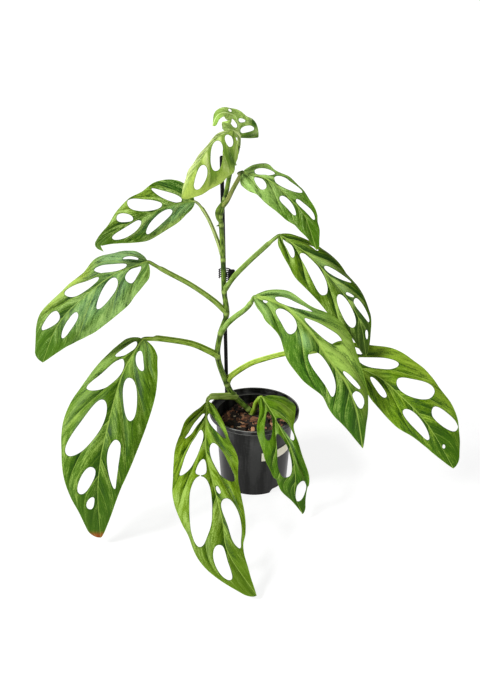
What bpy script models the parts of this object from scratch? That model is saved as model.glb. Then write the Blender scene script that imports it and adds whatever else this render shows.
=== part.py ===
# A monstera adansonii in its nursery pot: one climbing stem tied to a stake, with eleven pierced leaves.
# The origin is the centre of the pot's underside, +Z is up and -Y is the front.
import math
import random

import bmesh
import bpy
import numpy as np
from mathutils import Matrix, Vector
from mathutils.geometry import delaunay_2d_cdt

MM = 0.001
TOUCH_GAP = 0.3
WELD = 0.000001

# The pot, in millimetres
POT_RIM_RADIUS = 60.0
POT_HEIGHT = 107.0
POT_BAND_HEIGHT = 6.0
POT_TOP_RADIUS = 51.5
POT_BASE_RADIUS = 45.0
POT_WALL = 1.4
POT_FLOOR = 1.6
POT_STEPS = 48
NOTCH_HEIGHT = 9.0
NOTCH_HALF_WIDTH = 14.0
NOTCH_INNER_RADIUS = 35.0

# The soil and its bark
SOIL_TOP = 88.0
SOIL_RINGS = 5
SOIL_SPOKES = 30
BARK_CHIPS = 38
BARK_SEED = 12
BARK_EDGE_CLEARANCE = 7.0
BARK_PLANT_CLEARANCE = 9.0

# The stake, the stem and the hold that the soil has on them
STAKE_RADIUS = 2.5
STAKE_FOOT = Vector((-35.5, 21.5, 30.0))
STAKE_TOP = Vector((-41.0, 31.0, 439.0))
STEM_FOOT_DEPTH = 26.0
HOLE_DEPTH_SPARE = 3.0
STEM_STEP = 9.0
STEM_HOLE_POINTS = 9
ROUND_RESOLUTION = 4
STEM_RESOLUTION = 2
STALK_RESOLUTION = 1

# The blank label, with its ends as turns round the pot from +X
LABEL_START = -79.0
LABEL_END = -25.0
LABEL_MIDDLE = 61.5
LABEL_RISE = 1.5
LABEL_HEIGHT = 12.5
LABEL_THICKNESS = 0.4
LABEL_COLUMNS = 16

# The clip
CLIP_BODY_CENTRE = (-29.5, 24.5, 288.0)
CLIP_BODY_SIZE = (9.0, 9.0, 13.0)
CLIP_PRONGS = 5
CLIP_PRONG_STEP = 2.6
CLIP_WIRE_RADIUS = 0.95

# The leaves
BLADE_THICKNESS = 0.7
MARGIN_STEP = 7.0
FILL_STEP = 12.0
FILL_CLEARANCE = 4.0
HOLE_SIDES = 12
HOLE_FULLNESS = 2.3  # 2 is an ellipse, and more fills its corners
MIDRIB_STEP = 13.0
RIB_STEP = 20.0
RIB_END = 0.92
RIB_TIP_RADIUS = 0.45
RIB_SINK = 0.7
STALK_STEP = 9.0
STALK_FOOT_SWELL = 0.25
BASE_ROUNDING = 0.05
TIP_ROUNDING = 0.04
SHARP_ANGLE = 35.0


def clear_scene():
    """Empties the scene, so that the model stands alone in it."""
    for thing in list(bpy.data.objects):
        bpy.data.objects.remove(thing, do_unlink=True)


def new_collection(name, for_cutters=False):
    collection = bpy.data.collections.new(name)
    bpy.context.scene.collection.children.link(collection)
    collection.hide_render = for_cutters
    return collection


def new_material(name, colour, roughness, metallic=0.0):
    material = bpy.data.materials.new(name)
    material.use_nodes = True
    shader = material.node_tree.nodes["Principled BSDF"]
    shader.inputs["Base Color"].default_value = (*colour, 1.0)
    shader.inputs["Roughness"].default_value = roughness
    shader.inputs["Metallic"].default_value = metallic
    return material


def add_object(name, mesh, collection, material=None):
    thing = bpy.data.objects.new(name, mesh)
    collection.objects.link(thing)
    if collection.hide_render:
        thing.display_type = "WIRE"
        thing.hide_render = True
    if material is not None:
        mesh.materials.clear()
        mesh.materials.append(material)
    return thing


def mesh_from_bmesh(name, shape):
    """Makes a mesh from a bmesh that was drawn in millimetres."""
    bmesh.ops.scale(shape, vec=(MM, MM, MM), verts=shape.verts)
    mesh = bpy.data.meshes.new(name)
    shape.to_mesh(mesh)
    shape.free()
    return mesh


def evaluated_mesh(thing):
    """The mesh that an object shows, with its loose caps welded."""
    bpy.context.view_layer.update()
    graph = bpy.context.evaluated_depsgraph_get()
    mesh = bpy.data.meshes.new_from_object(thing.evaluated_get(graph))
    shape = bmesh.new()
    shape.from_mesh(mesh)
    bmesh.ops.remove_doubles(shape, verts=shape.verts, dist=WELD)
    drop_scraps(shape)
    bmesh.ops.recalc_face_normals(shape, faces=shape.faces)
    shape.to_mesh(mesh)
    shape.free()
    return mesh


def drop_scraps(shape):
    """Keeps the largest body of a bmesh and deletes the loose scraps that a cut left."""
    waiting = set(shape.verts)
    bodies = []
    while waiting:
        stack = [waiting.pop()]
        body = []
        while stack:
            corner = stack.pop()
            body.append(corner)
            for edge in corner.link_edges:
                other = edge.other_vert(corner)
                if other in waiting:
                    waiting.remove(other)
                    stack.append(other)
        bodies.append(body)
    bodies.sort(key=len)
    for body in bodies[:-1]:
        bmesh.ops.delete(shape, geom=body, context="VERTS")


def as_mesh_object(thing):
    """Swaps an object for a plain mesh object of the same shape and place."""
    mesh = evaluated_mesh(thing)
    name = thing.name
    collection = thing.users_collection[0]
    place = thing.matrix_world.copy()
    material = thing.data.materials[0] if thing.data.materials else None
    bpy.data.objects.remove(thing, do_unlink=True)
    swapped = add_object(name, mesh, collection, material)
    swapped.matrix_world = place
    return swapped


def smooth_path(points, step):
    """A Catmull-Rom curve through points, read at equal lengths of about step."""
    points = np.asarray(points, float)
    padded = np.vstack([2 * points[0] - points[1], points, 2 * points[-1] - points[-2]])
    pieces = []
    for index in range(len(points) - 1):
        before, start, end, after = padded[index:index + 4]
        t = np.linspace(0, 1, 40, endpoint=False)[:, None]
        bend = 2 * before - 5 * start + 4 * end - after
        twist = 3 * start - before - 3 * end + after
        pieces.append(0.5 * (2 * start + (end - before) * t + bend * t ** 2 + twist * t ** 3))
    pieces.append(points[-1:])
    dense = np.vstack(pieces)
    lengths = np.linalg.norm(np.diff(dense, axis=0), axis=1)
    along = np.concatenate([[0.0], np.cumsum(lengths)])
    count = max(3, int(round(along[-1] / step)) + 1)
    places = np.linspace(0, along[-1], count)
    return np.stack([np.interp(places, along, dense[:, axis]) for axis in range(3)], axis=1)


def tube_sides(resolution):
    """How many sides a curve's round bevel has at a bevel resolution."""
    return 4 + 2 * resolution


def add_tube(name, points, radii, collection, material=None, resolution=STALK_RESOLUTION):
    """A round tube through points in millimetres, with a radius at each point and filled ends."""
    curve = bpy.data.curves.new(name, "CURVE")
    curve.dimensions = "3D"
    curve.bevel_depth = MM
    curve.bevel_resolution = resolution
    curve.use_fill_caps = True
    spline = curve.splines.new("POLY")
    spline.points.add(len(points) - 1)
    for knot, point, radius in zip(spline.points, points, radii):
        knot.co = (point[0] * MM, point[1] * MM, point[2] * MM, 1.0)
        knot.radius = radius
    tube = bpy.data.objects.new(name, curve)
    collection.objects.link(tube)
    if material is not None:
        curve.materials.append(material)
    return tube


def combine(target, others, operation):
    """Joins the other mesh objects to the target or cuts them from it, and removes them.

    The manifold solver is used because the exact one is slow on the thin blades.
    """
    group = bpy.data.collections.new("combined")
    bpy.context.scene.collection.children.link(group)
    for other in others:
        for owner in list(other.users_collection):
            owner.objects.unlink(other)
        group.objects.link(other)
    boolean = target.modifiers.new("combine", "BOOLEAN")
    boolean.operation = operation
    boolean.operand_type = "COLLECTION"
    boolean.collection = group
    boolean.solver = "MANIFOLD"
    result = as_mesh_object(target)
    for other in list(group.objects):
        bpy.data.objects.remove(other, do_unlink=True)
    bpy.data.collections.remove(group)
    return result


def make_pot(parts, cutters, material):
    """The turned shell of the pot, with four drain notches scooped from its foot."""
    inner_top = POT_TOP_RADIUS - POT_WALL
    band_bottom = POT_HEIGHT - POT_BAND_HEIGHT
    outer = [
        (POT_RIM_RADIUS - 0.6, POT_HEIGHT),
        (POT_RIM_RADIUS, POT_HEIGHT - 0.6),
        (POT_RIM_RADIUS - 0.4, band_bottom),
        (POT_TOP_RADIUS, band_bottom - 0.4),
        (POT_BASE_RADIUS + 0.8, 1.2),
        (POT_BASE_RADIUS - 0.4, 0.0),
        (0.0, 0.0),
    ]
    inner = [
        (0.0, POT_FLOOR),
        (POT_BASE_RADIUS - POT_WALL - 0.6, POT_FLOOR),
        (POT_BASE_RADIUS - POT_WALL + 0.1, POT_FLOOR + 0.8),
        (inner_top, band_bottom + 1.0),
        (POT_RIM_RADIUS - 1.9, band_bottom + 1.4),
        (POT_RIM_RADIUS - 1.6, POT_HEIGHT),
    ]
    section = bmesh.new()
    corners = [section.verts.new((radius, 0.0, height)) for radius, height in outer + inner]
    for corner, following in zip(corners, corners[1:] + corners[:1]):
        if corner.co.x or following.co.x:
            section.edges.new((corner, following))
    pot = add_object("pot", mesh_from_bmesh("pot", section), parts, material)
    screw = pot.modifiers.new("turn", "SCREW")
    screw.steps = POT_STEPS
    screw.render_steps = POT_STEPS
    screw.use_merge_vertices = True
    screw.merge_threshold = 0.00001
    pot = as_mesh_object(pot)

    # Each notch is a lying cylinder, sunk so that only its crown bites into the foot
    scoop_radius = (NOTCH_HALF_WIDTH ** 2 + NOTCH_HEIGHT ** 2) / (2 * NOTCH_HEIGHT)
    scoop_length = 2 * (POT_BASE_RADIUS - NOTCH_INNER_RADIUS) + 10.0
    scoops = []
    for quarter in range(4):
        angle = math.radians(45 + 90 * quarter)
        shape = bmesh.new()
        bmesh.ops.create_cone(shape, cap_ends=True, segments=28, radius1=scoop_radius,
                              radius2=scoop_radius, depth=scoop_length)
        bmesh.ops.rotate(shape, matrix=Matrix.Rotation(math.pi / 2, 3, "Y"), verts=shape.verts)
        offset = (NOTCH_INNER_RADIUS + scoop_length / 2, 0.0, NOTCH_HEIGHT - scoop_radius)
        bmesh.ops.translate(shape, vec=offset, verts=shape.verts)
        bmesh.ops.rotate(shape, matrix=Matrix.Rotation(angle, 3, "Z"), verts=shape.verts)
        scoop = add_object("scoop", mesh_from_bmesh("scoop", shape), cutters)
        scoops.append(scoop)
    return combine(pot, scoops, "DIFFERENCE")


def wall_radius(height):
    """The pot's outer radius at a height below the rim band."""
    share = height / (POT_HEIGHT - POT_BAND_HEIGHT)
    return POT_BASE_RADIUS + (POT_TOP_RADIUS - POT_BASE_RADIUS) * share


def soil_height(x, y):
    """The gently uneven top of the soil."""
    swell = math.sin(0.13 * x + 1.0) * math.cos(0.11 * y)
    ripple = math.sin(0.31 * x - 0.27 * y) * math.sin(0.29 * y + 2.0)
    return SOIL_TOP + 1.2 * swell + 0.8 * ripple


def make_soil(parts, cutters, material):
    """The filled body of soil, with bark chips fused into its top and holes for the stem and stake."""
    stem_path, stem_radii = stem_course()
    top_radius = wall_radius(SOIL_TOP) - POT_WALL - TOUCH_GAP - 0.4
    bottom = POT_FLOOR + TOUCH_GAP
    foot_radius = POT_BASE_RADIUS - POT_WALL - TOUCH_GAP - 1.4
    profile = [(top_radius * ring / SOIL_RINGS, SOIL_TOP) for ring in range(SOIL_RINGS + 1)]
    profile += [(foot_radius + 0.8, bottom + 1.0), (foot_radius, bottom), (0.0, bottom)]
    section = bmesh.new()
    corners = [section.verts.new((radius, 0.0, height)) for radius, height in profile]
    for corner, following in zip(corners, corners[1:]):
        section.edges.new((corner, following))
    soil = add_object("soil", mesh_from_bmesh("soil", section), parts, material)
    screw = soil.modifiers.new("turn", "SCREW")
    screw.steps = SOIL_SPOKES
    screw.render_steps = SOIL_SPOKES
    screw.use_merge_vertices = True
    screw.merge_threshold = 0.00001
    soil = as_mesh_object(soil)

    # The flat top is then raised and lowered into its gentle waves
    shape = bmesh.new()
    shape.from_mesh(soil.data)
    bmesh.ops.triangulate(shape, faces=shape.faces)
    for corner in shape.verts:
        if corner.co.z > (SOIL_TOP - 0.5) * MM:
            corner.co.z = soil_height(corner.co.x / MM, corner.co.y / MM) * MM
    shape.to_mesh(soil.data)
    shape.free()

    # Bark chips lie at random over the top, each a skewed flake half sunk in the soil
    draw = random.Random(BARK_SEED)
    chips = []
    while len(chips) < BARK_CHIPS:
        radius = (top_radius - BARK_EDGE_CLEARANCE) * math.sqrt(draw.random())
        angle = draw.uniform(0, 2 * math.pi)
        x = radius * math.cos(angle)
        y = radius * math.sin(angle)
        stem_gap = math.hypot(x - stem_path[0][0], y - stem_path[0][1])
        stake_gap = math.hypot(x - STAKE_FOOT.x, y - STAKE_FOOT.y)
        if min(stem_gap, stake_gap) < BARK_PLANT_CLEARANCE:
            continue
        size = draw.uniform(3.0, 6.5)
        chip = bmesh.new()
        bmesh.ops.create_cube(chip, size=1.0)
        for corner in chip.verts:
            corner.co.x *= size * draw.uniform(0.8, 1.2)
            corner.co.y *= size * draw.uniform(0.45, 0.8)
            corner.co.z *= size * draw.uniform(0.3, 0.6)
        turn = Matrix.Rotation(draw.uniform(0, math.pi), 3, "Z")
        tilt = Matrix.Rotation(draw.uniform(-0.6, 0.6), 3, "X")
        bmesh.ops.rotate(chip, matrix=turn @ tilt, verts=chip.verts)
        bmesh.ops.translate(chip, vec=(x, y, soil_height(x, y) + 0.1 * size), verts=chip.verts)
        bmesh.ops.triangulate(chip, faces=chip.faces)
        chips.append(add_object("chip", mesh_from_bmesh("chip", chip), cutters))
    soil = combine(soil, chips, "UNION")

    # Plain holes for the stem and the stake, a little deeper than their feet
    stem_foot = Vector(stem_path[0])
    stem_direction = (Vector(stem_path[1]) - stem_foot).normalized()
    stem_hole = [stem_foot - stem_direction * HOLE_DEPTH_SPARE] + list(stem_path[1:STEM_HOLE_POINTS])
    stem_reach = list(stem_radii[:STEM_HOLE_POINTS])
    stake_direction = (STAKE_TOP - STAKE_FOOT).normalized()
    stake_hole = [STAKE_FOOT - stake_direction * HOLE_DEPTH_SPARE, STAKE_FOOT + stake_direction * SOIL_TOP]
    stake_reach = [STAKE_RADIUS, STAKE_RADIUS]
    holes = []
    for ends, radii in ((stem_hole, stem_reach), (stake_hole, stake_reach)):
        spare = 1.0 / math.cos(math.pi / tube_sides(ROUND_RESOLUTION))
        reach = [(radius + TOUCH_GAP) * spare for radius in radii]
        tube = add_tube("hole", ends, reach, cutters, resolution=ROUND_RESOLUTION)
        holes.append(as_mesh_object(tube))
    return combine(soil, holes, "DIFFERENCE")


def make_stake(parts, material):
    """A plain round stake with a blunt rounded top."""
    direction = (STAKE_TOP - STAKE_FOOT).normalized()
    points = [STAKE_FOOT, STAKE_TOP - direction * 2.0, STAKE_TOP - direction * 0.7, STAKE_TOP]
    radii = [STAKE_RADIUS, STAKE_RADIUS, STAKE_RADIUS * 0.8, STAKE_RADIUS * 0.4]
    tube = add_tube("stake", points, radii, parts, material, resolution=ROUND_RESOLUTION)
    return as_mesh_object(tube)


# The stem's path from its foot in the soil to the growing tip, with its radius at each point
STEM_POINTS = [
    ((6.0, 12.0, SOIL_TOP - STEM_FOOT_DEPTH), 3.6),
    ((1.0, 13.0, 86.0), 3.9),
    ((-8.0, 14.0, 99.0), 3.7),
    ((-26.0, 16.0, 117.0), 3.9),
    ((-36.0, 16.5, 135.0), 3.9),
    ((-48.0, 16.0, 176.0), 3.8),
    ((-44.0, 18.0, 209.0), 3.6),
    ((-36.0, 19.0, 237.0), 3.4),
    ((-39.0, 20.0, 267.0), 3.3),
    ((-40.0, 21.0, 310.0), 3.2),
    ((-42.0, 22.0, 355.0), 3.0),
    ((-43.0, 22.0, 366.0), 2.9),
    ((-37.0, 20.0, 389.0), 2.9),
    ((-30.0, 17.0, 424.0), 2.7),
    ((-22.5, 14.0, 448.0), 2.6),
    ((-20.0, 13.0, 462.0), 2.1),
]


def stem_course():
    """The stem's smooth path and its radius at each point, swelling a little at the nodes."""
    knots = np.array([point for point, radius in STEM_POINTS])
    sizes = np.array([radius for point, radius in STEM_POINTS])
    path = smooth_path(knots, STEM_STEP)
    radii = []
    for point in path:
        gaps = np.linalg.norm(knots - point, axis=1)
        weights = 1.0 / (gaps + 1.0) ** 2
        radius = float((sizes * weights).sum() / weights.sum())
        nearest = gaps[2:].min()
        radii.append(radius * (1.0 + 0.09 * math.exp(-(nearest / 4.0) ** 2)))
    return path, radii


def make_stem(parts, cutters, material):
    """The main stem, with the papery sheath and the small nub near its top fused in."""
    path, radii = stem_course()
    stem = as_mesh_object(add_tube("stem", path, radii, parts, material, resolution=STEM_RESOLUTION))
    sheath_path = smooth_path([(-42.5, 21.0, 358.0), (-48.0, 19.5, 366.0), (-47.5, 18.5, 377.0),
                               (-38.0, 19.0, 388.0)], 4.0)
    sheath_radii = np.linspace(1.3, 0.8, len(sheath_path))
    sheath = as_mesh_object(add_tube("sheath", sheath_path, sheath_radii, cutters))
    nub_ends = [(-43.0, 21.0, 355.0), (-48.0, 19.5, 354.0)]
    nub = as_mesh_object(add_tube("nub", nub_ends, [1.3, 0.7], cutters))
    return combine(stem, [sheath, nub], "UNION")


def blade_width(half_widths, share):
    """The half-width at a share of the midrib, from widths at even stations, rounded at both ends."""
    values = list(half_widths)
    place = min(max(share, 0.0), 1.0) * (len(values) - 1)
    index = min(int(place), len(values) - 2)
    t = place - index
    start = values[index]
    end = values[index + 1]
    before = values[max(index - 1, 0)]
    after = values[index + 2] if index + 2 < len(values) else 2 * end - start
    bend = 2 * before - 5 * start + 4 * end - after
    twist = 3 * start - before - 3 * end + after
    width = 0.5 * (2 * start + (end - before) * t + bend * t ** 2 + twist * t ** 3)
    if share < BASE_ROUNDING:
        width *= math.sqrt(max(1.0 - (1.0 - share / BASE_ROUNDING) ** 2, 0.0))
    to_tip = (1.0 - share) / TIP_ROUNDING
    if to_tip < 1.0:
        width -= half_widths[-1] * (1.0 - math.sqrt(max(1.0 - (1.0 - to_tip) ** 2, 0.0)))
    return max(width, 0.0)


def half_arc(out, wide, fold, curl):
    """Where a point at distance out lies on a half that leaves at the fold angle and curls evenly."""
    start = math.radians(fold)
    turn = math.radians(curl)
    if abs(turn) < 0.001:
        return out * math.cos(start), out * math.sin(start)
    angle = start + turn * out / wide
    reach = wide / turn
    return reach * (math.sin(angle) - math.sin(start)), reach * (math.cos(start) - math.cos(angle))


class Blade:
    """A leaf blade: a flat outline with holes, bent along its midrib and across it."""

    def __init__(self, midrib, faces, left, right, bends, holes):
        self.path = smooth_path(midrib, 1.0)
        self.length = float(np.linalg.norm(np.diff(self.path, axis=0), axis=1).sum())
        tangent = np.gradient(self.path, axis=0)
        self.tangent = tangent / np.linalg.norm(tangent, axis=1)[:, None]
        share = np.linspace(0, 1, len(self.path))[:, None]
        face = np.asarray(faces[0]) * (1 - share) + np.asarray(faces[1]) * share
        across = np.cross(face, self.tangent)
        self.across = across / np.linalg.norm(across, axis=1)[:, None]
        self.normal = np.cross(self.tangent, self.across)
        self.left = left
        self.right = right
        self.wide = max(max(left), max(right))
        self.bends = bends
        self.holes = holes

    def at(self, rows, share):
        """A value carried along the midrib, read at a share of its length."""
        place = min(max(share, 0.0), 1.0) * (len(rows) - 1)
        index = min(int(place), len(rows) - 2)
        return rows[index] + (rows[index + 1] - rows[index]) * (place - index)

    def point(self, along, out):
        """The bent place of a point of the flat outline, in millimetres."""
        share = along / self.length
        fold, curl = self.bends[1] if out >= 0 else self.bends[0]
        sideways, raised = half_arc(abs(out), self.wide, fold, curl)
        side = 1.0 if out >= 0 else -1.0
        return (self.at(self.path, share) + self.at(self.across, share) * sideways * side
                + self.at(self.normal, share) * raised)

    def outline(self):
        """The margin as a closed loop of flat points, base to tip on the left and back on the right."""
        count = int(self.length / MARGIN_STEP)
        shares = [0.5 - 0.5 * math.cos(math.pi * (index / count) ** 0.9) for index in range(1, count)]
        left = [(share * self.length, -blade_width(self.left, share)) for share in shares]
        right = [(share * self.length, blade_width(self.right, share)) for share in reversed(shares)]
        return [(0.0, 0.0)] + left + [(self.length, 0.0)] + right

    def hole_outline(self, hole):
        """A hole between two ends, bowed to one side and egg-shaped: narrower at its last end."""
        first_share, first_out, last_share, last_out, wide, bow, egg = hole
        first = Vector((first_share * self.length, first_out))
        last = Vector((last_share * self.length, last_out))
        centre = (first + last) / 2
        half = (last - first) / 2
        side = Vector((-half.y, half.x)).normalized() * wide / 2
        loop = []
        for index in range(HOLE_SIDES):
            angle = 2 * math.pi * index / HOLE_SIDES
            far = math.copysign(abs(math.cos(angle)) ** (2 / HOLE_FULLNESS), math.cos(angle))
            wide_share = math.copysign(abs(math.sin(angle)) ** (2 / HOLE_FULLNESS), math.sin(angle))
            spread = wide_share * (1.0 - egg * far) + bow * (1.0 - far ** 2)
            loop.append(tuple(centre + half * far + side * spread))
        return loop


def distance_to_loop(point, loop):
    """The distance from a flat point to the nearest side of a closed loop."""
    nearest = 1000.0
    for start, end in zip(loop, loop[1:] + loop[:1]):
        side = (end[0] - start[0], end[1] - start[1])
        size = side[0] ** 2 + side[1] ** 2
        t = 0.0
        if size > 0:
            t = ((point[0] - start[0]) * side[0] + (point[1] - start[1]) * side[1]) / size
        t = min(max(t, 0.0), 1.0)
        gap = math.hypot(point[0] - start[0] - side[0] * t, point[1] - start[1] - side[1] * t)
        nearest = min(nearest, gap)
    return nearest


def is_inside(point, loop):
    """Whether a flat point lies inside a closed loop."""
    inside = False
    for start, end in zip(loop, loop[1:] + loop[:1]):
        if (start[1] > point[1]) != (end[1] > point[1]):
            crossing = start[0] + (point[1] - start[1]) / (end[1] - start[1]) * (end[0] - start[0])
            if point[0] < crossing:
                inside = not inside
    return inside


def blade_mesh(name, blade):
    """The blade's surface as triangles between its margin, its holes and its midrib."""
    margin = blade.outline()
    loops = [margin] + [blade.hole_outline(hole) for hole in blade.holes]
    points = []
    edges = []
    faces = []
    for loop in loops:
        first = len(points)
        points.extend(loop)
        faces.append(list(range(first, len(points))))
    # The midrib is a line of edges, so that the crease falls on it
    steps = int(blade.length / MIDRIB_STEP)
    first = len(points)
    points.extend((blade.length * index / steps, 0.0) for index in range(1, steps))
    line = [0] + list(range(first, len(points))) + [margin.index((blade.length, 0.0))]
    edges.extend(zip(line, line[1:]))
    # Fill points lie on a staggered grid, clear of every edge
    rows = int(blade.wide / FILL_STEP) + 1
    for row in range(-rows, rows + 1):
        out = row * FILL_STEP
        along = FILL_STEP * (0.5 if row % 2 else 1.0)
        while along < blade.length:
            spot = (along, out)
            clear = abs(out) > FILL_CLEARANCE and is_inside(spot, margin)
            clear = clear and all(distance_to_loop(spot, loop) > FILL_CLEARANCE for loop in loops)
            if clear and not any(is_inside(spot, loop) for loop in loops[1:]):
                points.append(spot)
            along += FILL_STEP
    flat = [Vector(point) for point in points]
    result = delaunay_2d_cdt(flat, edges, faces, 1, 0.0001)
    flat_points, flat_faces, sources = result[0], result[2], result[5]
    shape = bmesh.new()
    corners = [shape.verts.new(blade.point(point.x, point.y)) for point in flat_points]
    for face, source in zip(flat_faces, sources):
        if len(source) == 1:
            shape.faces.new([corners[index] for index in face])
    loose = [corner for corner in shape.verts if not corner.link_faces]
    bmesh.ops.delete(shape, geom=loose, context="VERTS")
    return mesh_from_bmesh(name, shape)


def rib_course(blade, petiole, petiole_radius):
    """The path and radii of the petiole and of the midrib that it becomes under the blade."""
    stalk = smooth_path(petiole + [tuple(blade.path[0])], STALK_STEP)[:-1]
    shares = np.linspace(0.0, RIB_END, max(5, int(blade.length / RIB_STEP)))
    rib_radius = 0.4 * petiole_radius + 0.4
    path = list(stalk)
    radii = []
    for index in range(len(stalk)):
        share = index / len(stalk)
        radii.append(petiole_radius * (1.0 + STALK_FOOT_SWELL * (1.0 - share) ** 3))
    for share in shares:
        radius = rib_radius + (RIB_TIP_RADIUS - rib_radius) * (share / RIB_END) ** 0.7
        sunk = blade.at(blade.path, share) - blade.at(blade.normal, share) * radius * RIB_SINK
        path.append(sunk)
        radii.append(radius)
    return path, radii


def grow_leaf(name, parts, cutters, material, midrib, faces, left, right, bends, holes,
              petiole, petiole_radius):
    """A whole leaf in one piece: the petiole, the midrib under the blade, and the pierced blade."""
    blade = Blade(midrib, faces, left, right, bends, holes)
    leaf = add_object(name, blade_mesh(name, blade), parts, material)
    solidify = leaf.modifiers.new("thickness", "SOLIDIFY")
    solidify.thickness = BLADE_THICKNESS * MM
    solidify.offset = 0.0
    leaf = as_mesh_object(leaf)

    path, radii = rib_course(blade, petiole, petiole_radius)
    rib = as_mesh_object(add_tube("rib", path, radii, cutters))
    leaf = combine(leaf, [rib], "UNION")

    # The petiole's foot is hollowed to clasp the stem without touching it
    stem_path, stem_radii = stem_course()
    spare = TOUCH_GAP / math.cos(math.pi / tube_sides(STEM_RESOLUTION))
    grip_radii = [radius + spare for radius in stem_radii]
    grip = add_tube("grip", stem_path, grip_radii, cutters, resolution=STEM_RESOLUTION)
    return combine(leaf, [as_mesh_object(grip)], "DIFFERENCE")


def make_label(parts, material):
    """A blank strip of card, bent round the pot's wall just clear of it."""
    shape = bmesh.new()
    bmesh.ops.create_grid(shape, x_segments=LABEL_COLUMNS, y_segments=2, size=0.5)
    for corner in shape.verts:
        along = corner.co.x + 0.5
        angle = math.radians(LABEL_START + (LABEL_END - LABEL_START) * along)
        height = LABEL_MIDDLE + LABEL_RISE * along + LABEL_HEIGHT * corner.co.y
        radius = wall_radius(height) + TOUCH_GAP + 0.1
        corner.co = (radius * math.cos(angle), radius * math.sin(angle), height)
    label = add_object("label", mesh_from_bmesh("label", shape), parts, material)
    solidify = label.modifiers.new("thickness", "SOLIDIFY")
    solidify.thickness = LABEL_THICKNESS * MM
    solidify.offset = 1.0
    return as_mesh_object(label)


def make_clip(parts, cutters, material):
    """The spring clip that ties the stem to the stake: a body with prongs round the back."""
    x, y, z = CLIP_BODY_CENTRE
    body = bmesh.new()
    bmesh.ops.create_cube(body, size=1.0)
    bmesh.ops.scale(body, vec=CLIP_BODY_SIZE, verts=body.verts)
    bmesh.ops.bevel(body, geom=body.edges, offset=1.0, segments=1, profile=0.5, affect="EDGES")
    bmesh.ops.translate(body, vec=(x, y, z), verts=body.verts)
    clip = add_object("clip", mesh_from_bmesh("clip", body), parts, material)
    prongs = []
    for index in range(CLIP_PRONGS):
        height = z + CLIP_PRONG_STEP * (index - (CLIP_PRONGS - 1) / 2)
        back = [(x, y + 2, height), (x - 4, y + 8.5, height), (x - 9, y + 9.5, height),
                (x - 14, y + 7.5, height), (x - 16.5, y + 1, height), (x - 16, y - 5, height),
                (x - 18, y - 9, height)]
        path = smooth_path(back, 5.0)
        radii = [CLIP_WIRE_RADIUS] * (len(path) - 1) + [0.5 * CLIP_WIRE_RADIUS]
        prongs.append(as_mesh_object(add_tube("prong", path, radii, cutters)))
        front = [(x - 2, y - 2, height), (x - 5.5, y - 5.5, height), (x - 6.5, y - 8.5, height)]
        radii = [CLIP_WIRE_RADIUS, CLIP_WIRE_RADIUS, 0.6 * CLIP_WIRE_RADIUS]
        prongs.append(as_mesh_object(add_tube("prong", front, radii, cutters)))
    return combine(clip, prongs, "UNION")


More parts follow.
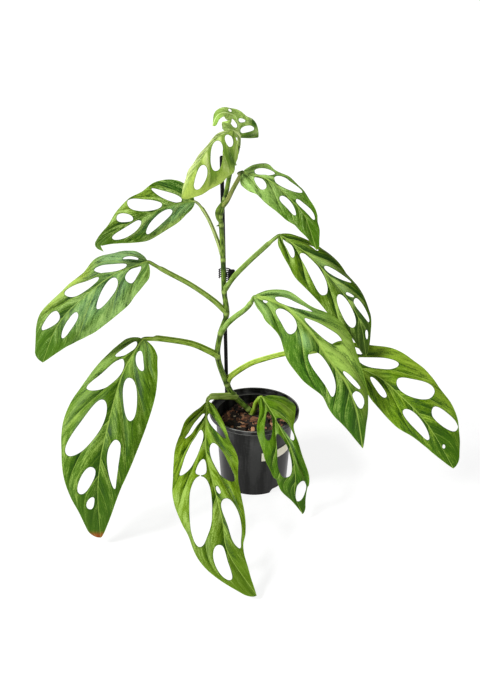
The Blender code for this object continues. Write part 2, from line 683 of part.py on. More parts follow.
# The leaves from the top down. Each midrib runs from the blade's base to its tip, and the faces are
# the directions that the upper side looks at the base and at the tip. Half-widths stand at every
# eighth of the midrib, also at the tip, where the blade is then rounded off. A bend is the angle at
# which a half leaves the midrib and how far it then curls. A hole is a share along and a distance
# out at each end, its width, how far its middle bows aside in half-widths, and how much it narrows
# towards its last end. The left half, with distances below zero, is on the left of somebody who
# faces the upper side with the tip hanging down.
LEAVES = {
    "leaf_01": dict(
        midrib=[(-21, 20, 463), (-20, 16, 474), (-22, 11, 484), (-25, 4, 492), (-31, -2, 496),
                (-39, -7, 498), (-46, -11, 494), (-50, -14, 484)],
        faces=((0.0, -1.0, 0.1), (-0.3, -0.7, 0.6)),
        left=(24, 23, 19, 12, 7, 6, 6, 3, 0),
        right=(12, 19, 19, 17, 10, 8, 6, 5, 4),
        bends=((0, -12), (0, -10)),
        holes=[(0.18, 3.5, 0.42, 7, 5.5, 0, 0.1), (0.11, -1.5, 0.16, -18, 6.5, 0.5, 0.3),
               (0.34, -2.5, 0.27, -9.5, 5.5, -0.4, 0.3), (0.54, -2.5, 0.61, -4.5, 2.5, 0, 0.1)],
        petiole=[(-20, 13, 453), (-20, 18, 458)],
        petiole_radius=1.4,
    ),
    "leaf_02": dict(
        midrib=[(-27, 2, 476), (-42, -7, 471), (-55, -15, 459), (-67, -24, 442), (-78, -31, 424),
                (-86, -37, 406)],
        faces=((0.4, -0.85, 0.3), (0.4, -0.8, 0.4)),
        left=(3, 5, 5, 5, 6, 8, 6, 4, 0),
        right=(30, 39, 39, 45, 40, 36, 29, 21, 5),
        bends=((-50, -40), (5, -35)),
        holes=[(0.08, 2.5, 0.11, 17, 11, 0, 0), (0.22, 4.5, 0.53, 22, 15.5, 0, 0.1),
               (0.55, 7, 0.84, 12, 12.5, 0.2, 0)],
        petiole=[(-20, 13, 456), (-20, 8, 468)],
        petiole_radius=1.7,
    ),
    "leaf_03": dict(
        midrib=[(-16, 10, 424), (8, -2, 422), (25, -10, 413), (54, -23, 386), (63, -28, 368),
                (72, -34, 342)],
        faces=((0.1, -0.55, 0.8), (0.25, -0.8, 0.5)),
        left=(16, 23, 24, 25, 23, 21, 15, 7, 0),
        right=(9, 24, 18, 24, 24, 18, 14, 10, 4),
        bends=((0, -30), (4, -35)),
        holes=[(0.10, 5.5, 0.26, 13, 10, -0.1, 0.3), (0.13, -3, 0.28, -14, 10.5, 0, -0.1),
               (0.28, 6, 0.53, 18.5, 13, 0.1, 0.3), (0.43, -6.5, 0.64, -9.5, 9, 0.2, 0.4),
               (0.54, 5, 0.75, 9.5, 7.5, -0.1, 0)],
        petiole=[(-39, 20, 380), (-34, 15, 388), (-27, 12, 403), (-19, 11, 418)],
        petiole_radius=2.4,
    ),
    "leaf_04": dict(
        midrib=[(-74, 22, 385), (-98, 14, 384), (-133, 0, 374), (-166, -14, 361), (-186, -23, 349),
                (-188, -26, 344), (-181, -31, 339)],
        faces=((-0.1, -0.9, 0.42), (-0.2, -0.85, 0.5)),
        left=(16, 29, 35, 29, 28, 21, 10, 5, 0),
        right=(8, 19, 25, 28, 29, 24, 16, 7, 0),
        bends=((2, -20), (-12, -30)),
        holes=[(0.11, -2.5, 0.30, -28, 9, 0.6, 0.3), (0.28, -4, 0.53, -23, 15, 0.2, -0.2),
               (0.55, -2.5, 0.66, -13, 11, -0.1, -0.2), (0.22, 6.5, 0.50, 20.5, 11, -0.3, 0.2),
               (0.50, 3.5, 0.78, 6.5, 11, 0.6, 0)],
        petiole=[(-40, 22, 310), (-48, 23, 337), (-58, 24, 362), (-68, 24, 379)],
        petiole_radius=2.1,
    ),
    "leaf_05": dict(
        midrib=[(-132, -4, 317), (-166, -17, 309), (-189, -27, 297), (-210, -38, 282),
                (-230, -48, 265), (-245, -56, 243), (-259, -64, 208)],
        faces=((-0.1, -0.6, 0.8), (-0.2, -0.8, 0.55)),
        left=(18, 34, 42, 31, 33, 29, 33, 21, 14),
        right=(21, 34, 43, 45, 44, 41, 32, 17, 0),
        bends=((0, -45), (2, -30)),
        holes=[(0.05, -7, 0.14, -16, 4.5, -0.5, 0), (0.14, -4, 0.32, -23, 11, 0.7, 0),
               (0.06, 3, 0.18, 20, 13, -0.2, -0.2), (0.33, -6, 0.56, -22, 15.5, 0.2, -0.4),
               (0.24, 7, 0.47, 25, 14, 0.1, 0.3), (0.67, -7, 0.81, -18, 14, 0.1, 0.4),
               (0.58, 11.5, 0.79, 13.5, 10, 0.1, 0.2)],
        petiole=[(-36, 20, 237), (-54, 16, 257), (-81, 10, 280), (-110, 3, 300), (-124, -2, 311)],
        petiole_radius=2.8,
    ),
    "leaf_06": dict(
        midrib=[(30, 8, 347), (61, -6, 330), (82, -15, 311), (101, -26, 292), (118, -36, 271),
                (130, -43, 246), (137, -46, 208)],
        faces=((0.1, -0.55, 0.8), (0.25, -0.85, 0.5)),
        left=(12, 24, 32, 32, 31, 30, 24, 13, 3),
        right=(6, 17, 23, 29, 27, 25, 17, 10, 2),
        bends=((2, -40), (0, -50)),
        holes=[(0.04, -2, 0.16, -17, 8, 0.4, 0.2), (0.18, -6, 0.49, -21, 15.5, 0.4, -0.1),
               (0.18, 12, 0.25, 13.5, 3.5, 0, -0.4), (0.35, 4, 0.53, 20, 7.5, -0.5, 0.1),
               (0.56, 3, 0.61, 8.5, 3.5, -0.2, 0.2), (0.62, 8, 0.79, 12, 8.5, -0.2, 0.4),
               (0.54, -6.5, 0.78, -10, 15, -0.2, 0), (0.83, 5.5, 0.89, 4.5, 4, 0, 0.1)],
        petiole=[(-39, 21, 267), (-27, 9, 290), (-8, 6, 312), (12, 6, 331.5), (21, 7, 340)],
        petiole_radius=2.8,
    ),
    "leaf_07": dict(
        midrib=[(-1, -22, 278), (22, -36, 278), (41, -50, 271), (66, -69, 251), (87, -82, 222),
                (109, -92, 193), (122, -98, 159), (132, -100, 108)],
        faces=((0.0, -0.7, 0.7), (0.1, -0.85, 0.5)),
        left=(11, 27, 31, 42, 41, 33, 31, 16, 0),
        right=(6, 18, 22, 39, 41, 26, 19, 9, 1),
        bends=((2, -30), (2, -30)),
        holes=[(0.05, -3, 0.08, -4.5, 3.5, 0, 0), (0.11, 4, 0.28, 18.5, 7.5, -0.6, 0.5),
               (0.15, -8.5, 0.30, -17.5, 16, 0.3, -0.2), (0.28, 5, 0.47, 24, 12.5, -0.4, -0.5),
               (0.43, -14.5, 0.67, -22, 16.5, 0.5, 0.4), (0.59, 5, 0.70, 12.5, 5, -0.4, 0),
               (0.70, 4, 0.79, 7, 11, 0.3, 0.1)],
        petiole=[(-44, 18, 209), (-35.5, 10, 225.5), (-25.5, 4, 238), (-15, -3, 249.5), (-7, -12, 262)],
        petiole_radius=3.1,
    ),
    "leaf_08": dict(
        midrib=[(92, -14, 202), (128, -34, 188), (156, -49, 179), (179, -66, 164), (202, -83, 146),
                (220, -99, 125), (241, -120, 92)],
        faces=((0.15, -0.85, 0.5), (0.25, -0.85, 0.45)),
        left=(8, 9, 19, 28, 31, 31, 22, 13, 1),
        right=(15, 26, 35, 44, 48, 44, 39, 26, 8),
        bends=((-14, -30), (4, -20)),
        holes=[(0.06, 9.5, 0.19, 17.5, 7.5, 0.5, 0), (0.18, 9, 0.38, 27.5, 13, -0.7, -0.2),
               (0.30, -5.5, 0.45, -14, 8, -0.2, -0.1), (0.43, 10, 0.62, 32.5, 23.5, -0.2, -0.1),
               (0.67, 16, 0.83, 28.5, 17.5, 0, 0.1), (0.57, -10.5, 0.80, -9.5, 12.5, 0.1, 0.3),
               (0.86, 4, 0.88, 1.5, 3.5, 0, 0)],
        petiole=[(-36, 18, 135), (-30, 17, 147), (-8, 13, 165.5), (11, 9, 175.5), (41, 2, 187.5),
                 (73, -8, 195)],
        petiole_radius=3.0,
    ),
    "leaf_09": dict(
        midrib=[(-140, -30, 224), (-163, -65, 193), (-180, -118, 138), (-187, -136, 103),
                (-190, -146, 66), (-189, -152, 13)],
        faces=((-0.1, -0.75, 0.65), (-0.1, -0.9, 0.4)),
        left=(16, 26, 41, 56, 58, 51, 42, 24, 12),
        right=(24, 40, 47, 47, 43, 37, 27, 16, 2),
        bends=((4, -30), (4, -30)),
        holes=[(0.03, -4.5, 0.135, -17, 8, 0.6, 0.2), (0.06, 5.5, 0.15, 21.5, 9.5, -0.2, 0),
               (0.14, -5, 0.30, -36, 20, 0.5, 0), (0.21, 11, 0.41, 26.5, 17, 0, 0.1),
               (0.34, -13, 0.62, -43.5, 25.5, 0.5, 0), (0.51, 16, 0.74, 21, 13.5, -0.4, 0.5),
               (0.65, -7.5, 0.78, -21.5, 14.5, 0, 0), (0.79, -5.5, 0.85, -10.5, 8.5, -0.2, -0.3)],
        petiole=[(-48, 16, 177), (-60, 11, 187), (-83, 2, 202), (-118, -17, 217.5), (-129, -25, 221.5)],
        petiole_radius=3.4,
    ),
    "leaf_10": dict(
        midrib=[(-62, -14, 126), (-62, -69, 112), (-59, -110, 101), (-40, -187, 69),
                (-32, -221, 45), (0, -249, 7)],
        faces=((0.0, -0.5, 0.85), (0.1, -0.6, 0.8)),
        left=(3, 26, 35, 44, 51, 47, 38, 23, 7),
        right=(8, 21, 31, 37, 30, 28, 23, 12, 0),
        bends=((2, -25), (2, -25)),
        holes=[(0.08, -2.5, 0.24, -25, 4.5, 0.2, 0), (0.19, -5.5, 0.41, -35, 13.5, 0.7, 0),
               (0.355, -4, 0.435, -13.5, 11.5, 0, -0.4), (0.442, -12, 0.75, -29, 27, -0.1, 0),
               (0.08, 3.5, 0.235, 24.5, 9.5, -0.3, 0.1), (0.275, 9, 0.495, 23, 17, -0.1, 0),
               (0.50, 3, 0.54, 5, 4, -0.1, 0), (0.57, 9, 0.80, 15, 16, 0.1, 0.4),
               (0.76, -7, 0.89, -13.5, 14.5, -0.3, 0.1)],
        petiole=[(-24, 16, 116), (-34, 9, 120), (-47, 0, 125), (-58, -9, 129)],
        petiole_radius=3.5,
    ),
    "leaf_11": dict(
        midrib=[(10, -14, 133), (23, -47, 127), (33, -70, 117), (45, -85, 98), (51, -95, 65),
                (50, -98, 47), (53, -100, 30), (61, -102, 11)],
        faces=((0.0, -0.5, 0.85), (0.1, -0.9, 0.4)),
        left=(7, 13, 26, 32, 35, 31, 23, 6, 0),
        right=(24, 36, 27, 16, 11, 14, 18, 14, 5),
        bends=((2, -20), (-6, -25)),
        holes=[(0.165, -4.5, 0.375, -21.5, 9, 0.5, -0.2), (0.25, 2.5, 0.45, 7, 9.5, 0.5, 0),
               (0.36, -7, 0.70, -11, 16, -0.3, -0.4), (0.73, 10, 0.90, 3, 13, 0.3, 0.1)],
        petiole=[(-3, 13, 92), (1, 9, 102), (3, 4, 113), (7, -4, 124)],
        petiole_radius=2.9,
    ),
}


def main():
    clear_scene()
    parts = new_collection("monstera_adansonii")
    cutters = new_collection("cutters", for_cutters=True)
    plastic = new_material("black_plastic", (0.02, 0.02, 0.02), 0.42)
    card = new_material("cream_card", (0.86, 0.82, 0.72), 0.8)
    bark = new_material("bark_soil", (0.09, 0.05, 0.035), 0.95)
    wood = new_material("green_stem", (0.3, 0.42, 0.12), 0.5)
    make_pot(parts, cutters, plastic)
    make_soil(parts, cutters, bark)
    make_stake(parts, plastic.copy())
    make_label(parts, card)
    make_clip(parts, cutters, plastic.copy())
    make_stem(parts, cutters, wood)
    for name, spec in LEAVES.items():
        green = new_material(name + "_green", (0.16, 0.38, 0.07), 0.4)
        grow_leaf(name, parts, cutters, green, **spec)
    for thing in parts.objects:
        thing.data.shade_smooth()
        thing.data.set_sharp_from_angle(angle=math.radians(SHARP_ANGLE))
    bpy.context.view_layer.update()


main()
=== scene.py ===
# The looks of a pierced-leaf climbing plant in its nursery pot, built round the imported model
import math
import bpy
import numpy as np
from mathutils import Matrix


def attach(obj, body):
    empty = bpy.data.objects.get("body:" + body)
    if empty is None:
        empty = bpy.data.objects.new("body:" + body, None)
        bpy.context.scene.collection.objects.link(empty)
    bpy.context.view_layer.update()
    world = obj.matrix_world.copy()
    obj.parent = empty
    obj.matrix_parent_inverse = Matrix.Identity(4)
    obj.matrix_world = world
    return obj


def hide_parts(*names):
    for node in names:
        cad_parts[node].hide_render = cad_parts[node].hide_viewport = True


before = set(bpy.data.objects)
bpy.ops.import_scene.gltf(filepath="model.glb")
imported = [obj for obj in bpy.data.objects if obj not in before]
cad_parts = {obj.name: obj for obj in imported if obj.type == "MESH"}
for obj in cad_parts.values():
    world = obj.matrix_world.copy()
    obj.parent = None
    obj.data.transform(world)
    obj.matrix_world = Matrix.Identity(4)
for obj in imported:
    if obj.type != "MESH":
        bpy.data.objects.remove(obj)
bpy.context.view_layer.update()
mm = 0.001  # lengths below are in mm unless a note says otherwise
print("frame loaded:", len(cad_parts), "nodes")


def newObject(name, data):
    # The data as an object at the origin
    made = bpy.data.objects.new(name, data)
    bpy.context.scene.collection.objects.link(made)
    return made


# Camera and light

view = {
    "eye": (-18.8, -1043.0, 701.8),
    "downTilt": 25.3,  # degrees below level
    "focalPixels": 900.0,
    "longSidePixels": 679.0,
    "sensor": 36.0,
    "farthest": 60.0,  # metres
}
cameraData = bpy.data.cameras.new("camera")
cameraData.sensor_width = view["sensor"]
cameraData.lens = view["focalPixels"] * view["sensor"] / view["longSidePixels"]
cameraData.clip_end = view["farthest"]
camera = newObject("camera", cameraData)
camera.location = [value * mm for value in view["eye"]]
camera.rotation_euler = (math.radians(90.0 - view["downTilt"]), 0.0, 0.0)
bpy.context.scene.camera = camera
bpy.context.scene.view_settings.view_transform = "Standard"

studio = {
    "sky": {  # brightness low down and straight up, and the heights on a unit ball that it fades between
        "To Min": 0.2,
        "To Max": 0.13,
        "From Min": 0.12,
        "From Max": 0.6,
    },
    "lamps": {  # place that it shines from, softness in degrees, strength
        "key": ((-1.7, -0.9, 1.8), 16.0, 4.0),
        "fill": ((0.9, -1.8, 1.2), 70.0, 0.6),
    },
}
world = bpy.data.worlds.new("studio")
world.use_nodes = True
sky = world.node_tree
skyPlace = sky.nodes.new("ShaderNodeTexCoord")
skySplit = sky.nodes.new("ShaderNodeSeparateXYZ")
skyFade = sky.nodes.new("ShaderNodeMapRange")
skyFade.interpolation_type = "SMOOTHSTEP"
for skySocket, skyValue in studio["sky"].items():
    skyFade.inputs[skySocket].default_value = skyValue
sky.links.new(skyPlace.outputs["Generated"], skySplit.inputs[0])
sky.links.new(skySplit.outputs["Z"], skyFade.inputs["Value"])
sky.nodes["Background"].inputs["Color"].default_value = (1.0, 1.0, 1.0, 1.0)
sky.links.new(skyFade.outputs[0], sky.nodes["Background"].inputs["Strength"])
bpy.context.scene.world = world
for lampName, (place, softness, strength) in studio["lamps"].items():
    lampData = bpy.data.lights.new(lampName, "SUN")
    lampData.angle = math.radians(softness)
    lampData.energy = strength
    lamp = newObject(lampName, lampData)
    lamp.location = place
    level = math.hypot(place[0], place[1])
    lamp.rotation_euler = (math.atan2(level, place[2]), 0.0, math.atan2(place[1], place[0]) + math.pi / 2)


# Materials

class Value:
    # A socket that can be used in sums: each operator adds its Math node
    def __init__(self, material, socket):
        self.material = material
        self.socket = socket

    def sum(self, operation, *terms):
        return self.material.node("ShaderNodeMath", {"operation": operation}, dict(enumerate(terms)))

    def __add__(self, other):
        return self.sum("ADD", self, other)

    def __radd__(self, other):
        return self.sum("ADD", other, self)

    def __sub__(self, other):
        return self.sum("SUBTRACT", self, other)

    def __rsub__(self, other):
        return self.sum("SUBTRACT", other, self)

    def __mul__(self, other):
        return self.sum("MULTIPLY", self, other)

    def __rmul__(self, other):
        return self.sum("MULTIPLY", other, self)

    def __truediv__(self, other):
        return self.sum("DIVIDE", self, other)

    def __rtruediv__(self, other):
        return self.sum("DIVIDE", other, self)

    def fraction(self):
        # What is left above the whole number
        return self.sum("FRACT", self)

    def size(self):
        # The number without its sign
        return self.sum("ABSOLUTE", self)


class Finish:
    # A material whose nodes are added one at a time: type, settings, then socket values or links
    def __init__(self, name, **constants):
        self.made = bpy.data.materials.new(name)
        self.made.use_nodes = True
        self.tree = self.made.node_tree
        self.shader = self.tree.nodes["Principled BSDF"]
        self.show(**constants)

    def show(self, **sockets):
        # Fills the shader's sockets, whose names are written with _ for a space
        for socket, value in sockets.items():
            self.put(self.shader.inputs[socket.replace("_", " ")], value)
        return self.made

    def put(self, socket, value):
        # A value is linked, a colour gets an alpha of 1, and a number is taken as it is
        if isinstance(value, Value):
            self.tree.links.new(value.socket, socket)
        elif socket.type == "RGBA":
            socket.default_value = (*value, 1.0)
        else:
            socket.default_value = value

    def node(self, kind, settings, sockets, out=0):
        # Among the settings, stops are a ramp's places and colours
        made = self.tree.nodes.new(kind)
        stops = settings.get("stops", [])
        for key, value in settings.items():
            if key != "stops":
                setattr(made, key, value)
        while stops and len(made.color_ramp.elements) < len(stops):
            made.color_ramp.elements.new(0.5)
        if stops:
            for element, (place, colour) in zip(made.color_ramp.elements, stops):
                element.position = place
                element.color = (*colour, 1.0)
        for key, value in sockets.items():
            self.put(made.inputs[key], value)
        return Value(self, made.outputs[out])

    def mix(self, factor, first, second):
        # Inputs 6 and 7 and output 2 are the node's colours
        return self.node("ShaderNodeMix", {"data_type": "RGBA"}, {0: factor, 6: first, 7: second}, out=2)

    def attribute(self, name, out="Fac"):
        # What addPiece stored on the mesh point by point
        return self.node("ShaderNodeAttribute", {"attribute_name": name}, {}, out=out)

    def noise(self, coords, scale, detail, rough=0.5):
        # Soft random lumps: scale of them to a unit of the coordinates, which is a metre for place, and
        # detail layers of smaller ones, each rough times as strong as the one before
        return self.node("ShaderNodeTexNoise", {},
                         {"Vector": coords, "Scale": scale, "Detail": detail, "Roughness": rough})

    def ramp(self, value, low, high):
        # Runs smoothly from 0 at low to 1 at high, which may lie below low
        return self.node("ShaderNodeMapRange", {"interpolation_type": "SMOOTHSTEP"},
                         {"Value": value, "From Min": low, "From Max": high})

    def place(self, stretch=(1.0, 1.0, 1.0)):
        # The piece's own coordinates in metres; a pattern is drawn out where stretch is small
        coords = self.node("ShaderNodeTexCoord", {}, {}, out="Object")
        return self.node("ShaderNodeMapping", {}, {"Vector": coords, "Scale": stretch})

    def bump(self, height, strength, distance):
        # The normal of a surface that stands height times distance mm higher
        return self.node("ShaderNodeBump", {},
                         {"Height": height, "Strength": strength, "Distance": distance * mm})


def paint(red, green, blue):
    # Screen values 0 to 255 as a linear colour: each share to the power 2.2
    return tuple((value / 255.0) ** 2.2 for value in (red, green, blue))


def plasticFinish(name, looks):
    # Dark plastic with upright dull pale streaks, part dust and part painted sheen, stronger up to a given
    # height, and a fine grain.
    # The last entry lists heights where a pale line is painted as a highlight, with a half-width and a
    # strength
    finish = Finish(name, IOR=1.5, Specular_IOR_Level=looks["specular"])
    streaks = finish.noise(finish.place((1.0, 1.0, 0.1)), 70.0, 4.0, 0.6)
    scuff = finish.noise(finish.place((1.0, 1.0, 6.0)), 190.0, 3.0, 0.7)
    height = finish.node("ShaderNodeSeparateXYZ", {}, {0: finish.place()}, out=2)
    # pale streaks, part dust and part painted sheen
    dustAndSheen = finish.ramp(streaks * 0.8 + scuff * 0.2, 0.42, 0.62)
    dustAndSheen = dustAndSheen * (0.35 + 0.65 * finish.ramp(height, 0.0, looks["dustAndSheenTop"] * mm))
    tone = finish.mix(dustAndSheen, looks["black"], tuple(channel + looks["dustAndSheenLift"] for channel in looks["black"]))
    # pale lines painted at the given heights as highlights on the rim's edges
    for edge, halfWide, strength in looks.get("paintedHighlights", ()):
        far = (height - edge * mm).size()
        tone = finish.mix(finish.ramp(far, halfWide * mm, 0.0) * strength, tone, paint(150, 150, 146))
    normal = finish.bump(finish.noise(finish.place(), 900.0, 2.0), 0.25, looks["grain"])
    return finish.show(Base_Color=tone, Roughness=looks["roughness"] + 0.18 * dustAndSheen, Normal=normal)


def stalkFinish(name, looks, winged):
    # Stalk skin: long streaks and pale dots; on a winged stalk a painted highlight along each wing, painted
    # shade in the channel between them and on the underside; browner or paler where tone and light say.
    # Around runs from 0 on the upper side to 1 below, and the wings stand at about 0.2
    finish = Finish(name, IOR=1.42, Specular_IOR_Level=0.25)
    along, around, tone, light = (finish.attribute(key) for key in ("along", "around", "tone", "light"))
    green, pale, brown, ring = (paint(*looks[key]) for key in ("stalk", "stalkPale", "stalkDark", "ring"))
    grid = finish.node("ShaderNodeCombineXYZ", {}, {"X": along * 0.014, "Y": around})
    streak = finish.noise(grid, 6.0, 4.0, 0.6)
    spots = finish.noise(finish.place(), 520.0, 2.0)
    colour = finish.mix(finish.ramp(streak, 0.4, 0.62), green, pale)
    colour = finish.mix(finish.ramp(streak, 0.44, 0.32) * 0.6, colour, brown)
    # painted shade on the underside and in the channel, and a painted highlight along each wing
    colour = finish.mix(finish.ramp(around, 0.5, 0.85) * 0.7 * winged, colour, brown)
    colour = finish.mix(finish.ramp(around, 0.12, 0.04) * 0.6 * winged, colour, brown)
    colour = finish.mix(finish.ramp((around - 0.2).size(), 0.1, 0.03) * 0.8 * winged, colour, pale)
    colour = finish.mix(finish.ramp(spots, 0.6, 0.72) * 0.35, colour, pale)
    colour = finish.mix(light, finish.mix(tone, colour, brown), ring)
    normal = finish.bump(streak * 0.7 + spots * 0.3, 0.5, 0.35)
    return finish.show(Base_Color=colour, Roughness=0.36 + 0.2 * streak, Normal=normal)


def leafFinish(name, looks):
    # Leaf skin. A tone from 0 to 1 rises past each side vein, falls towards the next and is broken up
    # by streaks that run with the veins; its rise and fall between the veins is painted light and shade. Low
    # tones are painted dark over the ground, as dark mottle and painted shade, and high ones pale, as mottle
    # and painted highlight. Then come thin pale lines along the veins and the midrib, painted shade along the
    # hole edges, an edge line, and a dull pale underside. A line is drawn where the distance in mm, read from
    # lane or across, is small
    finish = Finish(name, IOR=1.45, Specular_IOR_Level=0.14)
    ground = finish.attribute("ground", out="Color")
    veinwise, flat = (finish.node("ShaderNodeUVMap", {"uv_map": key}, {}) for key in ("veinwise", "flat"))
    under, lane, spread, hole, margin, fade, calm = (finish.attribute(key) for key in (
        "under", "lane", "spread", "holeEdge", "marginEdge", "fade", "calm"))
    fromRib = finish.attribute("across").size() / finish.attribute("ribWide")
    dark, line = paint(*looks["shadeColour"]), paint(*looks["veinColour"])
    twigs = 5.0  # fine veins to a lane

    pastVein = lane.fraction() * spread
    toVein = spread - pastVein
    fromVein = ((lane + 0.5).fraction() - 0.5).size() * spread
    fromTwig = ((lane * twigs + 0.5).fraction() - 0.5).size() * spread / twigs
    vein = finish.ramp(fromVein, 0.9, 0.15) * fade
    twig = finish.ramp(fromTwig, 0.7, 0.1) * fade
    broad = finish.noise(veinwise, 5.5, 3.0, 0.6)
    fine = finish.noise(veinwise, 26.0, 4.0, 0.7)
    cells = finish.noise(flat, 90.0, 4.0, 0.7)
    # painted light just past each side vein and painted shade before the next
    slope = finish.ramp(pastVein, 11.0, 1.5) * 0.3 - finish.ramp(toVein, 14.0, 2.0) * 0.42
    streaks = broad * 1.5 + fine * 1.3 + cells * 1.5 - 2.15  # the last brings their mean to 0
    tone = 0.5 + slope * fade * looks["laneShadeAndLight"] + streaks * (0.45 + 0.55 * calm) * looks["contrast"]
    # low tones: dark mottle and painted shade
    colour = finish.mix(finish.ramp(tone, 0.52, 0.08) * looks["shade"], ground, dark)
    # high tones: pale mottle and painted highlight
    colour = finish.mix(finish.ramp(tone, 0.5, 0.95) * looks["mottleAndHighlight"], colour, paint(*looks["mottleAndHighlightColour"]))
    colour = finish.mix(twig * 0.12, colour, line)
    colour = finish.mix(vein * 0.45, colour, line)
    ribLine = finish.ramp(fromRib, looks["ribBand"], looks["ribBand"] * 0.5) * looks["ribPaint"]
    colour = finish.mix(ribLine, colour, paint(*looks["ribColour"]))
    # painted shade along the hole edges, where the skin turns down
    colour = finish.mix(finish.ramp(hole, 1.2, 0.2) * 0.5, colour, dark)
    colour = finish.mix(finish.ramp(margin, 1.3, 0.3) * 0.4, colour, paint(*looks["rimColour"]))
    colour = finish.mix(under * looks["underPaint"], colour, paint(*looks["underColour"]))
    relief = cells * 0.5 + fine * 0.5 - vein * 0.3 - twig * 0.12
    rough = looks["roughness"] + 0.18 * fine + under * 0.15
    return finish.show(Base_Color=colour, Roughness=rough, Normal=finish.bump(relief, 0.6, 0.6))


# Mesh helpers: points are arrays of shape (rows, columns, 3)

def newMesh(name, points, faces):
    # The points, given in mm, as a mesh in metres
    made = bpy.data.meshes.new(name)
    made.from_pydata((points.reshape(-1, 3) * mm).tolist(), [], faces)
    return made


def addPiece(name, points, faces, finish, slot, nodes, values=None, ground=None, maps=None, sharp=50.0):
    # Points that no face uses are dropped, and a closed piece whose volume comes out below zero has
    # its faces turned round. Values, the ground colour and maps are given point by point
    used = np.unique(np.concatenate([np.asarray(face) for face in faces]))
    points = points.reshape(-1, 3)
    order = np.full(len(points), -1)
    order[used] = np.arange(len(used))
    points = points[used]
    mesh = newMesh(name, points, [order[face].tolist() for face in faces])
    mesh.calc_loop_triangles()
    triangles = np.zeros(3 * len(mesh.loop_triangles), dtype=np.int32)
    mesh.loop_triangles.foreach_get("vertices", triangles)
    first, second, third = points[triangles.reshape(-1, 3)].transpose(1, 0, 2)
    if (first * np.cross(second, third)).sum() < 0:
        mesh.flip_normals()
    mesh.materials.append(finish)
    for key, data in (values or {}).items():
        layer = mesh.attributes.new(key, "FLOAT", "POINT")
        layer.data.foreach_set("value", data.ravel()[used].astype(np.float32))
    if ground is not None:
        layer = mesh.attributes.new("ground", "FLOAT_COLOR", "POINT")
        opaque = np.ones((len(used), 1))
        layer.data.foreach_set("color", np.hstack([ground[used], opaque]).astype(np.float32).ravel())
    corners = np.zeros(len(mesh.loops), dtype=np.int32)
    mesh.loops.foreach_get("vertex_index", corners)
    for key, data in (maps or {}).items():
        layer = mesh.uv_layers.new(name=key)
        layer.data.foreach_set("uv", data[used][corners].astype(np.float32).ravel())
    mesh.shade_smooth()
    mesh.set_sharp_from_angle(angle=math.radians(sharp))
    piece = newObject(name, mesh)
    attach(piece, "root")
    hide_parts(*nodes)
    return piece


def gridIndex(rows, columns, lastPole=True):
    # Numbers a grid's points row by row; the first row and the last are poles, so that each is drawn
    # together into its first point
    index = np.arange(rows * columns).reshape(rows, columns)
    index[0] = index[0, 0]
    if lastPole:
        index[-1] = index[-1, 0]
    return index


def quadCorners(index):
    # Each cell of an index grid as its four corners, in order round the cell
    return np.stack([index[:-1, :-1], index[1:, :-1], index[1:, 1:], index[:-1, 1:]], axis=-1)


def faceList(quads):
    # Cells with a doubled corner, such as those at a pole, become triangles, and empty ones go
    quads = quads.reshape(-1, 4)
    doubled = quads == np.roll(quads, -1, axis=1)
    count = doubled.sum(axis=1)
    single = quads[count == 1][~doubled[count == 1]]
    return quads[count == 0].tolist() + single.reshape(-1, 3).tolist()


def unit(vectors):
    # Each vector divided by its length
    return vectors / np.maximum(np.linalg.norm(vectors, axis=-1, keepdims=True), 1e-9)


def smoothStep(value, low, high):
    # With t the share of the way from low to high: t^2 (3 - 2t)
    t = np.clip((value - low) / (high - low), 0.0, 1.0)
    return t * t * (3 - 2 * t)


def bell(value, middle, width):
    # 1 at the middle, fading as exp(-(distance / width)^2)
    return np.exp(-((value - middle) / width) ** 2)


def turns(count):
    # Even angles round a circle
    return 2 * np.pi * np.arange(count) / count


def randomTurn(draw):
    # A random angle or phase, from a little more than one whole turn
    return draw.uniform(0, 6.3)


def ringed(values, columns):
    # One value for each row, repeated for every column
    return np.repeat(values[:, None], columns, axis=1)


def lengthsAlong(path):
    # The length walked from the path's start to each of its points
    return np.concatenate([[0.0], np.cumsum(np.linalg.norm(np.diff(path, axis=0), axis=1))])


def catmullRom(before, start, end, after, t):
    # Half of 2 start + (end - before) t + bend t^2 + twist t^3, which passes through start and end
    bend = 2 * before - 5 * start + 4 * end - after
    twist = 3 * start - before - 3 * end + after
    return 0.5 * (2 * start + (end - before) * t + bend * t ** 2 + twist * t ** 3)


def smoothPath(points, step):
    # A Catmull-Rom curve through the points, read at equal lengths of about one step
    points = np.asarray(points, float)
    padded = np.vstack([2 * points[0] - points[1], points, 2 * points[-1] - points[-2]])
    t = np.linspace(0, 1, 40, endpoint=False)[:, None, None]
    dense = catmullRom(padded[:-3], padded[1:-2], padded[2:-1], padded[3:], t)
    dense = np.vstack([dense.transpose(1, 0, 2).reshape(-1, 3), points[-1:]])
    along = lengthsAlong(dense)
    places = np.linspace(0, along[-1], max(3, int(round(along[-1] / step)) + 1))
    return readPath(places, along, dense)


def readPath(places, along, path):
    # The path's points at the given places along it
    return np.stack([np.interp(places, along, path[:, axis]) for axis in range(3)], axis=-1)


def squared(wave, power):
    # A sine or cosine drawn out towards its ends, which turns a ball into a rounded block
    return np.sign(wave) * np.abs(wave) ** power


def roundedBlock(rings, columns, power):
    # A ball of rings and columns whose sines and cosines are drawn out towards the corners
    down = np.pi * np.arange(rings) / (rings - 1)
    turn = turns(columns)
    wide = squared(np.sin(down), power)[:, None]
    tall = ringed(squared(np.cos(down), power), columns)
    right, back = (wide * squared(wave, power) for wave in (np.cos(turn), np.sin(turn)))
    return np.stack([right, back, tall], axis=-1)


